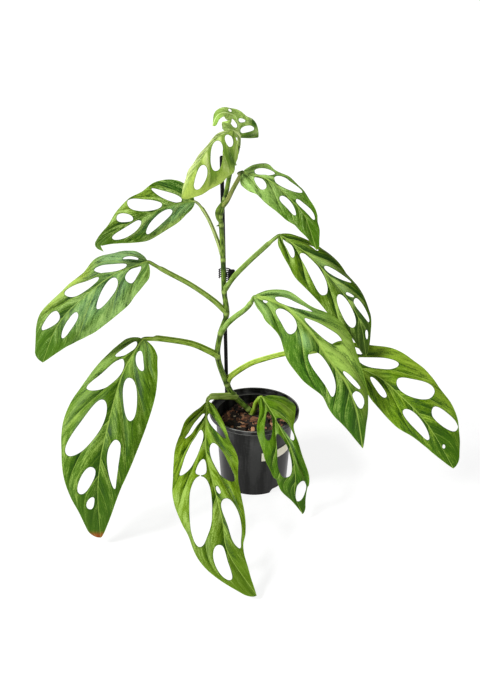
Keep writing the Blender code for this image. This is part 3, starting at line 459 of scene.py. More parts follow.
def turnedGrid(profile, columns):
    # A profile of radius and height carried round the upright axis
    profile = np.asarray(profile, float)
    ring = np.stack([np.cos(turns(columns)), np.sin(turns(columns))], axis=-1)
    height = np.broadcast_to(profile[:, None, 1:], (len(profile), columns, 1))
    return np.concatenate([profile[:, None, :1] * ring[None], height], axis=-1)


def turnedFaces(rows, columns, lastPole=True):
    # The cells of a turned grid, round to its first column again
    index = gridIndex(rows, columns, lastPole)
    return faceList(quadCorners(np.hstack([index, index[:, :1]])))


def tube(path, radii, upward, first=0):
    # A tube along a path: a point is the path's, plus its radius at each turn round, where turn 0
    # faces upward; radii has a row for each path point and a column for each turn. Each end is closed
    # by one face, and first is the number of the tube's first point
    tangent = unit(np.gradient(path, axis=0))
    side = unit(np.cross(tangent, np.broadcast_to(np.asarray(upward, float), path.shape)))
    up = np.cross(side, tangent)
    turn = turns(radii.shape[1])
    ring = np.cos(turn)[None, :, None] * up[:, None, :] + np.sin(turn)[None, :, None] * side[:, None, :]
    index = first + np.arange(radii.size).reshape(radii.shape)
    cells = quadCorners(np.hstack([index, index[:, :1]]))[:, :, ::-1]
    faces = faceList(cells) + [index[0].tolist(), index[-1][::-1].tolist()]
    return path[:, None, :] + ring * radii[:, :, None], faces


def sheetShell(points, faces, thickness):
    # A sheet given two sides: each point moves half the thickness both ways along its normal, which
    # is the mean of its faces' normals, and open sides are joined by a strip
    count = len(points)
    quads = np.array([face for face in faces if len(face) == 4], dtype=int).reshape(-1, 4)
    singles = np.array([face for face in faces if len(face) == 3], dtype=int).reshape(-1, 3)
    triangles = np.vstack([quads[:, [0, 1, 2]], quads[:, [0, 2, 3]], singles])
    corner, second, third = points[triangles].transpose(1, 0, 2)
    facing = np.cross(second - corner, third - corner)
    normals = np.zeros_like(points)
    for column in triangles.T:
        np.add.at(normals, column, facing)
    half = unit(normals) * thickness / 2
    starts = np.concatenate([quads.ravel(), singles.ravel()])
    ends = np.concatenate([np.roll(quads, -1, axis=1).ravel(), np.roll(singles, -1, axis=1).ravel()])
    isOpen = ~np.isin(starts * count + ends, ends * count + starts)
    starts, ends = starts[isOpen], ends[isOpen]
    strip = np.stack([ends, starts, starts + count, ends + count], axis=1).tolist()
    back = [[number + count for number in reversed(face)] for face in faces]
    return np.vstack([points + half, points - half]), faces + back + strip


def gridShell(grid, thickness):
    # A whole grid as such a sheet
    index = np.arange(grid.size // 3).reshape(grid.shape[:2])
    return sheetShell(grid.reshape(-1, 3), faceList(quadCorners(index)), thickness)


# The leaves

leafMake = {
    "cell": 1.35,  # between grid points
    "rowsMore": 1.1,  # times as many rows, because they crowd towards both ends
    "thickness": 0.6,
    "rimStrip": 0.9,  # of margin that no hole reaches
    "rimShare": 0.3,  # and no more than this share of the half-width
    "baseRounding": 0.05,
    "tipRounding": 0.04,
    "fullness": 2.3,  # of a hole: 2 is an ellipse, and more fills its corners
    "uneven": 0.02,  # how far a hole's edge wanders, as a share of its size
    "puff": 0.15,  # height of the swelling between side veins, as a share of their spacing
    "puffLimit": 3.8,
    "leanShare": 0.6,  # how far apart leaning side veins are, as a share of their pitch on the midrib
    "puffSlope": 5.5,  # over which the swelling rises from a side vein
    "midribDepth": 2.8,
    "midribSlope": 5.5,
    "edgeWave": 0.9,
    "ripple": 0.3,
    "rippleLengths": (23.0, 37.0, 51.0),
    "holeSink": 0.4,  # how far the skin turns down within 1 mm of a hole
    "veinShadeWide": 3.2,  # of the band of painted shade along a side vein
    "ribShadeWide": 5.0,  # and beside the midrib
}

veinMake = {  # lengths are shares of the blade's length, and a lean is what a vein gains on its way out
    "longHole": 0.07,  # a hole shorter than this gives no line
    "ratioLeast": 0.25,
    "leans": (0.14, 0.42),
    "alone": (0.25, 0.25),  # the line of a side that has no long hole
    "apart": 0.05,  # lines closer than this have no vein between them
    "pitch": 0.17,
    "beforeLean": 0.3,
    "beyondPitch": 0.13,
    "beyondCount": 5,
    "beyondLean": 0.26,
    "lessLean": 0.03,  # for each vein further on
    "narrowest": 0.02,
}


def halfWidth(values, share):
    # A Catmull-Rom curve through half-widths at even stations, rounded off at both ends
    values = np.array(values, float)
    last = len(values) - 1
    place = np.clip(share, 0.0, 1.0) * last
    index = np.minimum(place.astype(int), last - 1)
    start, end = values[index], values[index + 1]
    before = values[np.maximum(index - 1, 0)]
    after = np.where(index + 2 <= last, values[np.minimum(index + 2, last)], 2 * end - start)
    width = catmullRom(before, start, end, after, place - index)
    near = np.clip(share / leafMake["baseRounding"], 0.0, 1.0)
    toTip = np.clip((1.0 - share) / leafMake["tipRounding"], 0.0, 1.0)
    width = width * np.sqrt(1.0 - (1.0 - near) ** 2) - values[-1] * (1.0 - np.sqrt(1.0 - (1.0 - toTip) ** 2))
    return np.maximum(width, 0.0)


def bladeFrame(leaf):
    # The midrib's path with its three directions: along, across and up out of the upper side
    path = smoothPath(leaf["midrib"], 1.0)
    share = np.linspace(0, 1, len(path))
    along = unit(np.gradient(path, axis=0))
    face = np.outer(1 - share, leaf["faces"][0]) + np.outer(share, leaf["faces"][1])
    across = unit(np.cross(face, along))
    return {
        "share": share,
        "path": path,
        "across": across,
        "up": np.cross(along, across),
        "length": lengthsAlong(path)[-1],
        "wide": max(max(leaf["left"]), max(leaf["right"])),
    }


def bladePoint(leaf, blade, share, out, lift):
    # A flat point goes to its midrib point, then out along its half's arc of even bend, and is
    # lifted along the arc's own normal
    middle, across, up = (readPath(share, blade["share"], blade[key]) for key in ("path", "across", "up"))
    right = out >= 0
    (leftFold, leftCurl), (rightFold, rightCurl) = np.radians(leaf["bends"])
    fold = np.where(right, rightFold, leftFold)
    curl = np.where(right, rightCurl, leftCurl)
    angle = fold + curl * np.abs(out) / blade["wide"]
    reach = blade["wide"] / curl
    sideways = reach * (np.sin(angle) - np.sin(fold)) - lift * np.sin(angle)
    raised = reach * (np.cos(fold) - np.cos(angle)) + lift * np.cos(angle)
    sideways = np.where(right, sideways, -sideways)
    return middle + across * sideways[..., None] + up * raised[..., None]


def holeGap(leaf, blade, along, out, draw):
    # How far a flat point lies outside the nearest hole, in mm and below zero inside. A hole is a
    # bowed egg: with a and b as shares of its half-length and half-width, its edge is where
    # |a|^n + |(b - bow (1 - a^2)) / (1 - egg a)|^n = 1, where n is the fullness
    full, uneven = leafMake["fullness"], leafMake["uneven"]
    nearest = np.full(along.shape, 99.0)
    for firstShare, firstOut, lastShare, lastOut, wide, bow, egg in leaf["holes"]:
        halfAlong = (lastShare - firstShare) * blade["length"] / 2
        halfOut = (lastOut - firstOut) / 2
        reach = math.hypot(halfAlong, halfOut)
        fromAlong = along - (firstShare + lastShare) * blade["length"] / 2
        fromOut = out - (firstOut + lastOut) / 2
        a = (fromAlong * halfAlong + fromOut * halfOut) / reach ** 2
        b = (fromOut * halfAlong - fromAlong * halfOut) / reach / (wide / 2)
        within = np.clip(a, -1.2, 1.2)
        b = (b - bow * (1 - within ** 2)) / (1 - egg * within)
        turn = np.arctan2(b, a)
        wander = 1 + uneven * np.sin(2 * turn + randomTurn(draw))
        wander = wander + uneven * np.sin(3 * turn + randomTurn(draw))
        ratio = (np.abs(a) ** full + np.abs(b) ** full) ** (1 / full)
        slope = np.hypot(np.abs(a) ** (full - 1) / reach, np.abs(b) ** (full - 1) / (wide / 2))
        slope = slope / np.maximum(ratio, 0.01) ** (full - 1)
        nearest = np.minimum(nearest, (ratio * wander - 1) / np.maximum(slope, 1e-6))
    return nearest


def sideVeins(leaf, blade, side):
    # Each side vein runs from start on the midrib to start + lean at the margin, both shares of the
    # length, and the veins lie halfway between the long holes
    make = veinMake
    values = leaf["right"] if side > 0 else leaf["left"]
    lines = []
    for firstShare, firstOut, lastShare, lastOut in (hole[:4] for hole in leaf["holes"]):
        if (firstOut + lastOut) * side <= 0 or abs(lastShare - firstShare) < make["longHole"]:
            continue
        firstRatio = abs(firstOut) / halfWidth(values, np.array(firstShare))
        lastRatio = abs(lastOut) / halfWidth(values, np.array(lastShare))
        reach = max(lastRatio - firstRatio, make["ratioLeast"])
        lean = np.clip((lastShare - firstShare) / reach, *make["leans"])
        lines.append(((firstShare + lastShare) / 2 - lean * (firstRatio + lastRatio) / 2, lean))
    lines = sorted(lines) or [make["alone"]]
    veins = [((one[0] + two[0]) / 2, (one[1] + two[1]) / 2) for one, two in zip(lines, lines[1:])
             if two[0] - one[0] > make["apart"]]
    pitch = make["pitch"]
    first = min(lines[0][0] - pitch / 2, veins[0][0] - pitch if veins else 1.0)
    last = max(lines[-1][0] + pitch / 2, veins[-1][0] + pitch if veins else 0.0)
    before = [(first - pitch * index, make["beforeLean"]) for index in (2, 1, 0)]
    beyond = [(last + make["beyondPitch"] * index, make["beyondLean"] - make["lessLean"] * index)
              for index in range(make["beyondCount"])]
    return np.array(before + veins + beyond)


def veinPhase(veins, share, ratio):
    # Counts the side veins passed on the way to the tip: whole numbers lie on a vein
    places = veins[:, 0][:, None, None] + veins[:, 1][:, None, None] * ratio[None]
    phase = np.zeros(share.shape)
    spacing = np.full(share.shape, 0.1)
    for low, high in zip(places[:-1], places[1:]):
        width = np.maximum(high - low, veinMake["narrowest"])
        passed = np.clip((share - low) / width, 0.0, 1.0)
        phase += passed
        spacing = np.where((passed > 0) & (passed < 1), width, spacing)
    return phase, spacing


def mixedTo(colour, tint, amount):
    # The colour and the tint in shares of 1 - amount and amount, point by point
    return colour * (1 - amount[..., None]) + np.array(paint(*tint)) * amount[..., None]


def paintGround(looks, share, ratio):
    # The ground runs from the base colour to the tip colour, then patches fade out from a centre given
    # by share of the length and of the half-width: strength times exp(-distance^3)
    colour = mixedTo(np.array(paint(*looks["base"])), looks["tip"], smoothStep(share, *looks["turning"]))
    for centreShare, centreRatio, spreadShare, spreadRatio, tint, strength in looks["patches"]:
        far = ((share - centreShare) / spreadShare) ** 2 + ((ratio - centreRatio) / spreadRatio) ** 2
        colour = mixedTo(colour, tint, strength * np.exp(-far ** 1.5))
    return colour


def snapToHoles(flat, gap, locked):
    # Wherever a cell side crosses a hole's edge, its nearer end moves onto the edge. An end that lies
    # beyond the side's middle, give or take a hair, counts as left where it was
    best = np.full(gap.shape, 0.51)
    moved = flat.copy()
    for rowStep, columnStep in ((1, 0), (-1, 0), (0, 1), (0, -1)):
        other = np.roll(gap, (-rowStep, -columnStep), axis=(0, 1))
        otherFlat = np.roll(flat, (-rowStep, -columnStep), axis=(0, 1))
        valid = np.ones(gap.shape, bool)
        if rowStep:
            valid[-1 if rowStep > 0 else 0] = False
        else:
            valid[:, -1 if columnStep > 0 else 0] = False
        crossing = valid & ((gap > 0) != (other > 0)) & ~locked
        t = np.where(crossing, gap / np.where(crossing, gap - other, 1.0), 1.0)
        nearer = crossing & (t < best)
        best = np.where(nearer, t, best)
        moved = np.where(nearer[..., None], flat + (otherFlat - flat) * t[..., None], moved)
    return moved, best < 0.505


def keptFaces(gap, snapped, locked, centreGap):
    # Cells clear of the holes stay whole, and one with a single corner in a hole keeps its other half
    corners = quadCorners(gridIndex(*gap.shape))
    inside = quadCorners((gap <= 0) & ~snapped & ~locked)
    firm = quadCorners(locked).all(axis=-1)
    count = inside.sum(axis=-1)
    whole = firm | ((count == 0) & (centreGap > 0))
    part = (count == 1) & ~firm
    faces = faceList(corners[whole])
    for corner in range(4):
        chosen = part & inside[..., corner] & ~quadCorners(snapped)[..., (corner + 2) % 4]
        rest = [(corner + step) % 4 for step in (1, 2, 3)]
        faces += [face for face in corners[chosen][:, rest].tolist() if len(set(face)) == 3]
    return faces


def midribFade(share):
    # How deep the midrib's valley is along the blade: full at the base, half near the tip, none at it
    return (1.0 - 0.5 * share) * smoothStep(share, 0.0, 0.06) * smoothStep(1 - share, 0.0, 0.15)


def cutBlade(leaf, blade, draw):
    # The flat blade: rows are half evenly spaced and half crowded towards both ends by a cosine, and
    # columns run from margin to margin. The holes are cut along their own edges, which wander alike
    # for the cells' corners and for their centres
    make = leafMake
    t = np.linspace(0, 1, int(blade["length"] / make["cell"] * make["rowsMore"]))
    rowShare = 0.5 * t + 0.25 * (1 - np.cos(np.pi * t))
    halfColumns = int(blade["wide"] / make["cell"])
    ratios = np.linspace(0, 1, halfColumns)
    leftWidth, rightWidth = (halfWidth(leaf[key], rowShare)[:, None] for key in ("left", "right"))
    leftInner, rightInner = (half - np.minimum(make["rimStrip"], make["rimShare"] * half)
                             for half in (leftWidth, rightWidth))
    out = np.hstack([-leftWidth, -leftInner * ratios[None, ::-1], rightInner * ratios[None, 1:], rightWidth])
    width = np.hstack([leftWidth] * (halfColumns + 1) + [rightWidth] * halfColumns)
    along = ringed(rowShare, out.shape[1]) * blade["length"]
    locked = np.zeros(out.shape, bool)  # points that no hole moves
    locked[:, [0, 1, -2, -1]] = True
    locked[[0, -1]] = True

    state = draw.bit_generator.state
    gap = holeGap(leaf, blade, along, out, draw)
    flat, snapped = snapToHoles(np.stack([along, out], axis=-1), gap, locked)
    cells = quadCorners(np.arange(gap.size).reshape(gap.shape))
    centres = flat.reshape(-1, 2)[cells].mean(axis=2)
    draw.bit_generator.state = state
    centreGap = holeGap(leaf, blade, centres[..., 0], centres[..., 1], draw)
    out = flat[..., 1]
    return keptFaces(gap, snapped, locked, centreGap), {
        "share": flat[..., 0] / blade["length"],  # of the length
        "out": out,  # mm from the midrib, below zero on the left
        "ratio": np.clip(np.abs(out) / np.maximum(width, 0.5), 0.0, 1.0),  # share of the half-width
        "fromHole": np.where(snapped, 0.0, np.maximum(gap, 0.0)),
        "fromMargin": np.maximum(width - np.abs(out), 0.0),
    }


def liftBlade(leaf, blade, skin, draw):
    # How high each flat point is lifted. The skin swells from each side vein as 1 - exp(-distance /
    # slope) and falls towards the midrib as exp(-distance / slope), so that the midrib lies 0.65 of the
    # valley's depth below the flat. It waves with the side veins, most at the margin, ripples in long
    # random waves, and turns down at a hole as exp(-distance). Across keeps the swelling off the midrib
    # and low at the margin, and calm lets it fade at the tip
    make = leafMake
    share, out, ratio = skin["share"], skin["out"], skin["ratio"]
    right = out > 0
    rightPhase, rightSpacing = veinPhase(sideVeins(leaf, blade, 1), share, ratio)
    leftPhase, leftSpacing = veinPhase(sideVeins(leaf, blade, -1), share, ratio)
    phase = np.where(right, rightPhase, leftPhase)
    spacing = np.where(right, rightSpacing, leftSpacing) * blade["length"] * make["leanShare"]
    fromVein = (0.5 - np.abs(phase % 1.0 - 0.5)) * spacing
    across = smoothStep(ratio, 0.0, 0.3) * (1.0 - 0.75 * smoothStep(ratio, 0.6, 1.0))
    calm = smoothStep(1 - share, 0.05, 0.4)
    radius = leaf["petioleRadius"]
    ribWide = np.interp(share, [0.0, 0.15, 1.0], [0.5 * radius, 0.35 * radius, 0.35])
    skin.update(phase=phase, spacing=spacing, fromVein=fromVein, across=across, calm=calm, ribWide=ribWide)

    swell = np.minimum(make["puff"] * spacing, make["puffLimit"])
    lift = swell * calm * (1 - np.exp(-fromVein / make["puffSlope"]) - 0.5) * across
    fromRib = np.maximum(np.abs(out) - 0.6 * ribWide, 0.0)
    lift += make["midribDepth"] * midribFade(share) * (0.35 - np.exp(-fromRib / make["midribSlope"]))
    waves = np.sin(2 * np.pi * phase * 0.5 + randomTurn(draw)) * ratio ** 3
    lift += make["edgeWave"] * waves * smoothStep(share, 0.02, 0.2) * smoothStep(1 - share, 0.02, 0.25)
    for wavelength in make["rippleLengths"]:
        angle = randomTurn(draw)
        walk = (np.cos(angle) * share * blade["length"] + np.sin(angle) * out) / wavelength
        lift += make["ripple"] * np.sin(2 * np.pi * walk + randomTurn(draw)) * np.clip(ratio * 2, 0, 1)
    lift -= make["holeSink"] * np.exp(-skin["fromHole"]) * np.clip(ratio * 3, 0, 1)
    return lift * smoothStep(share, 0.0, 0.06)


def paintBlade(looks, blade, skin):
    # The ground colour, with painted shade beside the midrib, more on the left, and beside each side vein;
    # what leafFinish reads; and its maps. In the map veinwise a lane between two side veins is 0.42 wide
    # and 0.22 long, and the blade's halves lie 3 apart. Each point comes twice, for both sides
    share, out, ratio, calm = (skin[key] for key in ("share", "out", "ratio", "calm"))
    right = out > 0
    # painted shade beside the midrib, stronger on the left, and beside each side vein
    paintedRibShade = np.where(right, 0.2, 0.6) * np.exp(-np.abs(out) / leafMake["ribShadeWide"]) * (1 - 0.4 * share)
    paintedVeinShade = 0.3 * np.exp(-skin["fromVein"] / leafMake["veinShadeWide"]) * skin["across"] * calm
    ground = paintGround(looks, share, np.where(right, ratio, -ratio))
    ground = mixedTo(ground, looks["shadeColour"], np.clip(paintedVeinShade + paintedRibShade, 0.0, 0.7))
    fade = smoothStep(1 - ratio, 0.0, 0.3) * (0.12 + 0.88 * calm)
    flatMap = np.stack([share * blade["length"], out], axis=-1) / 100.0
    lengthwise = ratio * 0.22 + np.where(right, 3.0, 0.0) + share * 0.15
    veinMap = np.stack([skin["phase"] * 0.42, lengthwise], axis=-1)

    def both(rows):
        return np.tile(rows.reshape(share.size, -1), (2, 1))

    values = {"lane": skin["phase"], "spread": skin["spacing"], "across": out, "ribWide": skin["ribWide"],
              "holeEdge": skin["fromHole"], "marginEdge": skin["fromMargin"], "fade": fade, "calm": calm}
    values = {key: both(rows) for key, rows in values.items()}
    values["under"] = np.repeat([0.0, 1.0], share.size)
    return values, both(ground), {"flat": both(flatMap), "veinwise": both(veinMap)}


def growLeaf(node, leaf):
    # The blade is a flat grid with holes cut out, lifted, bent along its midrib, given its two sides
    # and painted; its stalk follows. The leaf's number is the seed of its random draws
    draw = np.random.default_rng(int(node[-2:]))
    blade = bladeFrame(leaf)
    looks = {**commonSkin, **leaf["looks"]}
    faces, skin = cutBlade(leaf, blade, draw)
    lift = liftBlade(leaf, blade, skin, draw)
    points = bladePoint(leaf, blade, skin["share"], skin["out"], lift).reshape(-1, 3)
    shell, faces = sheetShell(points, faces, leafMake["thickness"])
    addPiece(node + "_blade", shell, faces, leafFinish(node + "_skin", looks), node, [node],
             *paintBlade(looks, blade, skin))
    growStalk(node, leaf, blade, looks)
    print(node, "grown:", len(faces), "faces")


stalkMake = {
    "step": 2.0,  # between rings of the petiole
    "ribStep": 3.0,  # and of the midrib's tube
    "columns": 20,
    "upward": (0.0, -0.25, 1.0),  # the side that has the channel
    "footSwell": 0.25,
    "knee": 0.86,  # share of the petiole at which the knee begins
    "kneeThin": 0.16,
    "knobAt": (0.96, 0.06),  # share of the petiole and half-width
    "wings": 0.28,  # height, as a share of the radius
    "wingAt": (0.62, 0.22),  # radians from the top
    "channel": (0.3, 0.4),  # depth as a share of the radius, and radians
    "ribEnd": 0.93,  # share of the blade at which its tube ends,
    "ribTip": 0.4,  # with this radius
    "ribSink": 0.9,  # how many of its radii the tube lies below the blade
}


def growStalk(node, leaf, blade, looks):
    # The petiole and the midrib under the blade as one tube. The petiole has a channel between two low
    # wings on its upper side, which end where the round knee below the blade begins. The midrib's tube
    # thins towards the tip and lies under the blade's valley, by half the blade's thickness more
    make = stalkMake
    radius, knee, ribTip = leaf["petioleRadius"], make["knee"], make["ribTip"]
    stalk = smoothPath(leaf["petiole"] + [tuple(blade["path"][0])], make["step"])[:-1]
    shares = np.linspace(0.0, make["ribEnd"], int(blade["length"] / make["ribStep"]))
    ribRadius = 0.4 * radius + ribTip
    ribRadii = ribRadius + (ribTip - ribRadius) * (shares / make["ribEnd"]) ** 0.7
    sink = ribRadii * make["ribSink"] * smoothStep(shares, -0.02, 0.06) + 0.35
    sink += 0.65 * leafMake["midribDepth"] * midribFade(shares)
    rib = bladePoint(leaf, blade, shares, np.zeros(len(shares)), -sink)
    t = np.arange(len(stalk)) / len(stalk)
    stalkRadii = radius * (1.0 + make["footSwell"] * (1.0 - t) ** 3)
    stalkRadii *= 1.0 - make["kneeThin"] * smoothStep(t, knee - 0.02, knee + 0.02)
    stalkRadii *= 1.0 + leaf.get("knob", 0.0) * bell(t, *make["knobAt"])
    path = np.vstack([stalk, rib])
    radii = np.concatenate([stalkRadii, ribRadii])
    # Where the knee passes into the midrib, each radius is the weighted mean of seven
    blur = bell(np.arange(-3, 4), 0.0, 1.5)
    blurred = np.convolve(np.pad(radii, 3, mode="edge"), blur / blur.sum(), "valid")
    radii = np.where(np.arange(len(radii)) > len(stalk) * 0.93, blurred, radii)
    turn = turns(make["columns"])
    turn = np.where(turn > np.pi, turn - 2 * np.pi, turn)
    winged = np.concatenate([smoothStep(knee - t, 0.0, 0.03), np.zeros(len(rib))])[:, None]
    wings = leaf.get("wings", make["wings"]) * bell(np.abs(turn), *make["wingAt"])
    channel = make["channel"][0] * bell(turn, 0.0, make["channel"][1])
    rings = radii[:, None] * (1.0 + winged * (wings - channel)[None])
    rings[-1] *= 0.2
    # The skin is browned at the blade, and has a pale ring at the knee and at the foot
    place = np.arange(len(path)) / len(stalk)
    tone = looks["kneeTone"] * bell(place, 0.99, 0.05)
    light = 0.6 * bell(place, knee, 0.03) + 0.5 * bell(place, 0.0, 0.06)
    addStalk(node + "_stalk", path, rings, make["upward"], (np.abs(turn) / np.pi, tone, light),
             stalkFinish(node + "_stalk_skin", looks, 1.0), node)


def addStalk(name, path, rings, upward, skin, finish, node):
    # A tube whose skin is given as the way round for each column, then tone and light for each ring
    around, tone, light = skin
    points, faces = tube(path, rings, upward)
    columns = rings.shape[1]
    values = {"along": ringed(lengthsAlong(path), columns), "around": np.tile(around, (len(path), 1)),
              "tone": ringed(tone, columns), "light": ringed(light, columns)}
    addPiece(name, points, faces, finish, "stem", [node], values)


commonSkin = {
    "turning": (0.1, 0.9),  # shares of the blade between which the base colour turns to the tip's
    "patches": [],
    "mottleAndHighlight": 0.75,  # how fully high tones are painted pale, as mottle and painted highlight
    "mottleAndHighlightColour": (158, 188, 92),
    "shade": 0.9,  # how fully low tones, from dark mottle and painted shade, are painted dark
    "shadeColour": (24, 58, 0),
    "contrast": 1.0,  # how far the streaks move the tone
    "laneShadeAndLight": 1.0,  # how far the painted light past each side vein and painted shade before the next move the tone
    "veinColour": (150, 180, 76),
    "ribColour": (160, 190, 84),
    "ribPaint": 0.6,
    "ribBand": 1.0,  # how many half-widths of the midrib its paint reaches
    "rimColour": (116, 148, 40),
    "underColour": (130, 156, 92),
    "underPaint": 0.5,
    "roughness": 0.38,
    "stalk": (112, 144, 28),
    "stalkPale": (160, 190, 74),
    "stalkDark": (62, 84, 12),
    "ring": (164, 190, 96),
    "kneeTone": 0.3,
}

# Of each leaf: the midrib from the stalk, the way the upper side faces at the base and the tip, the
# half-widths at even stations, the fold and curl in degrees of each half, and the petiole. A hole is
# its two ends by share of the length and mm from the midrib, its width, its bow and its egg shape. A
# patch is its centre and spread by share of the length and of the half-width, a colour and a strength

growLeaf("leaf_01", {
    "midrib": [(-21, 20, 463), (-20, 16, 474), (-22, 11, 484), (-25, 4, 492), (-31, -2, 496),
               (-39, -7, 498), (-46, -11, 494), (-50, -14, 484)],
    "faces": ((0.0, -1.0, 0.1), (-0.3, -0.7, 0.6)),
    "left": (24, 23, 19, 12, 7, 6, 6, 3, 0),
    "right": (12, 19, 19, 17, 10, 8, 6, 5, 4),
    "bends": ((0, -12), (0, -10)),
    "holes": [(0.18, 3.5, 0.42, 7, 5.5, 0, 0.1), (0.11, -1.5, 0.16, -18, 6.5, 0.5, 0.3),
              (0.34, -2.5, 0.27, -9.5, 5.5, -0.4, 0.3), (0.54, -2.5, 0.61, -4.5, 2.5, 0, 0.1)],
    "petiole": [(-20, 13, 453), (-20, 18, 458)],
    "petioleRadius": 1.4,
    "looks": {"base": (200, 232, 124), "tip": (128, 168, 56), "turning": (0.6, 0.95),
              "mottleAndHighlightColour": (236, 250, 190), "shade": 0.6, "shadeColour": (70, 112, 20),
              "underPaint": 0.0, "ribBand": 1.7, "ribPaint": 0.9, "ribColour": (206, 230, 146),
              "mottleAndHighlight": 0.45,
              # the first two patches are painted shade where the right lobe folds
              "patches": [(0.04, -0.7, 0.1, 0.7, (6, 52, 0), 1.0),
                          (0.22, -0.95, 0.08, 0.35, (20, 72, 0), 1.0),
                          (0.15, 0.5, 0.2, 0.5, (210, 240, 140), 0.6)]},
})

growLeaf("leaf_02", {
    "midrib": [(-27, 2, 476), (-42, -7, 471), (-55, -15, 459), (-67, -24, 442), (-78, -31, 424),
               (-86, -37, 406)],
    "faces": ((0.4, -0.85, 0.3), (0.4, -0.8, 0.4)),
    "left": (3, 5, 5, 5, 6, 8, 6, 4, 0),
    "right": (30, 39, 39, 45, 40, 36, 29, 21, 5),
    "bends": ((-50, -40), (5, -35)),
    "holes": [(0.08, 2.5, 0.11, 17, 11, 0, 0), (0.22, 4.5, 0.53, 22, 15.5, 0, 0.1),
              (0.55, 7, 0.84, 12, 12.5, 0.2, 0)],
    "petiole": [(-20, 13, 456), (-20, 8, 468)],
    "petioleRadius": 1.7,
    "looks": {"base": (172, 204, 90), "tip": (184, 210, 92), "mottleAndHighlightColour": (222, 238, 160),
              "shade": 0.65, "shadeColour": (60, 96, 12), "contrast": 0.75, "mottleAndHighlight": 0.55,
              "patches": [(0.4, -0.9, 0.6, 0.7, (230, 238, 168), 0.9),
                          (0.22, 0.72, 0.13, 0.36, (34, 82, 0), 1.0),
                          (0.5, 0.5, 0.3, 0.25, (140, 176, 56), 0.7)],
              "stalk": (170, 198, 104), "stalkPale": (210, 226, 150)},
})

growLeaf("leaf_03", {
    "midrib": [(-16, 10, 424), (8, -2, 422), (25, -10, 413), (54, -23, 386), (63, -28, 368),
               (72, -34, 342)],
    "faces": ((0.1, -0.55, 0.8), (0.25, -0.8, 0.5)),
    "left": (16, 23, 24, 25, 23, 21, 15, 7, 0),
    "right": (9, 24, 18, 24, 24, 18, 14, 10, 4),
    "bends": ((0, -30), (4, -35)),
    "holes": [(0.10, 5.5, 0.26, 13, 10, -0.1, 0.3), (0.13, -3, 0.28, -14, 10.5, 0, -0.1),
              (0.28, 6, 0.53, 18.5, 13, 0.1, 0.3), (0.43, -6.5, 0.64, -9.5, 9, 0.2, 0.4),
              (0.54, 5, 0.75, 9.5, 7.5, -0.1, 0)],
    "petiole": [(-39, 20, 380), (-34, 15, 388), (-27, 12, 403), (-19, 11, 418)],
    "petioleRadius": 2.4,
    "looks": {"base": (138, 174, 86), "tip": (76, 118, 4), "turning": (0.2, 0.7),
              "mottleAndHighlightColour": (174, 204, 124), "laneShadeAndLight": 0.35, "kneeTone": 1.0,
              "stalk": (104, 124, 44), "stalkPale": (150, 152, 90), "stalkDark": (34, 60, 4),
              "ring": (120, 136, 56)},
    "knob": 2.4,
})

growLeaf("leaf_04", {
    "midrib": [(-74, 22, 385), (-98, 14, 384), (-133, 0, 374), (-166, -14, 361), (-186, -23, 349),
               (-188, -26, 344), (-181, -31, 339)],
    "faces": ((-0.1, -0.9, 0.42), (-0.2, -0.85, 0.5)),
    "left": (16, 29, 35, 29, 28, 21, 10, 5, 0),
    "right": (8, 19, 25, 28, 29, 24, 16, 7, 0),
    "bends": ((2, -20), (-12, -30)),
    "holes": [(0.11, -2.5, 0.30, -28, 9, 0.6, 0.3), (0.28, -4, 0.53, -23, 15, 0.2, -0.2),
              (0.55, -2.5, 0.66, -13, 11, -0.1, -0.2), (0.22, 6.5, 0.50, 20.5, 11, -0.3, 0.2),
              (0.50, 3.5, 0.78, 6.5, 11, 0.6, 0)],
    "petiole": [(-40, 22, 310), (-48, 23, 337), (-58, 24, 362), (-68, 24, 379)],
    "petioleRadius": 2.1,
    "looks": {"base": (90, 124, 12), "tip": (66, 100, 6), "ribPaint": 0.3, "laneShadeAndLight": 0.5,
              "mottleAndHighlightColour": (178, 208, 116), "contrast": 1.25,
              "patches": [(0.1, -0.7, 0.2, 0.5, (44, 88, 0), 1.0),
                          (0.5, -0.75, 0.22, 0.4, (136, 166, 48), 0.7),
                          # the next patch is painted sheen on the lower lobe near the base
                          (0.2, 0.45, 0.28, 0.4, (128, 172, 108), 0.9),
                          (0.25, 0.95, 0.25, 0.15, (166, 196, 96), 0.8)],
              "stalk": (128, 150, 72), "stalkPale": (178, 192, 124)},
})

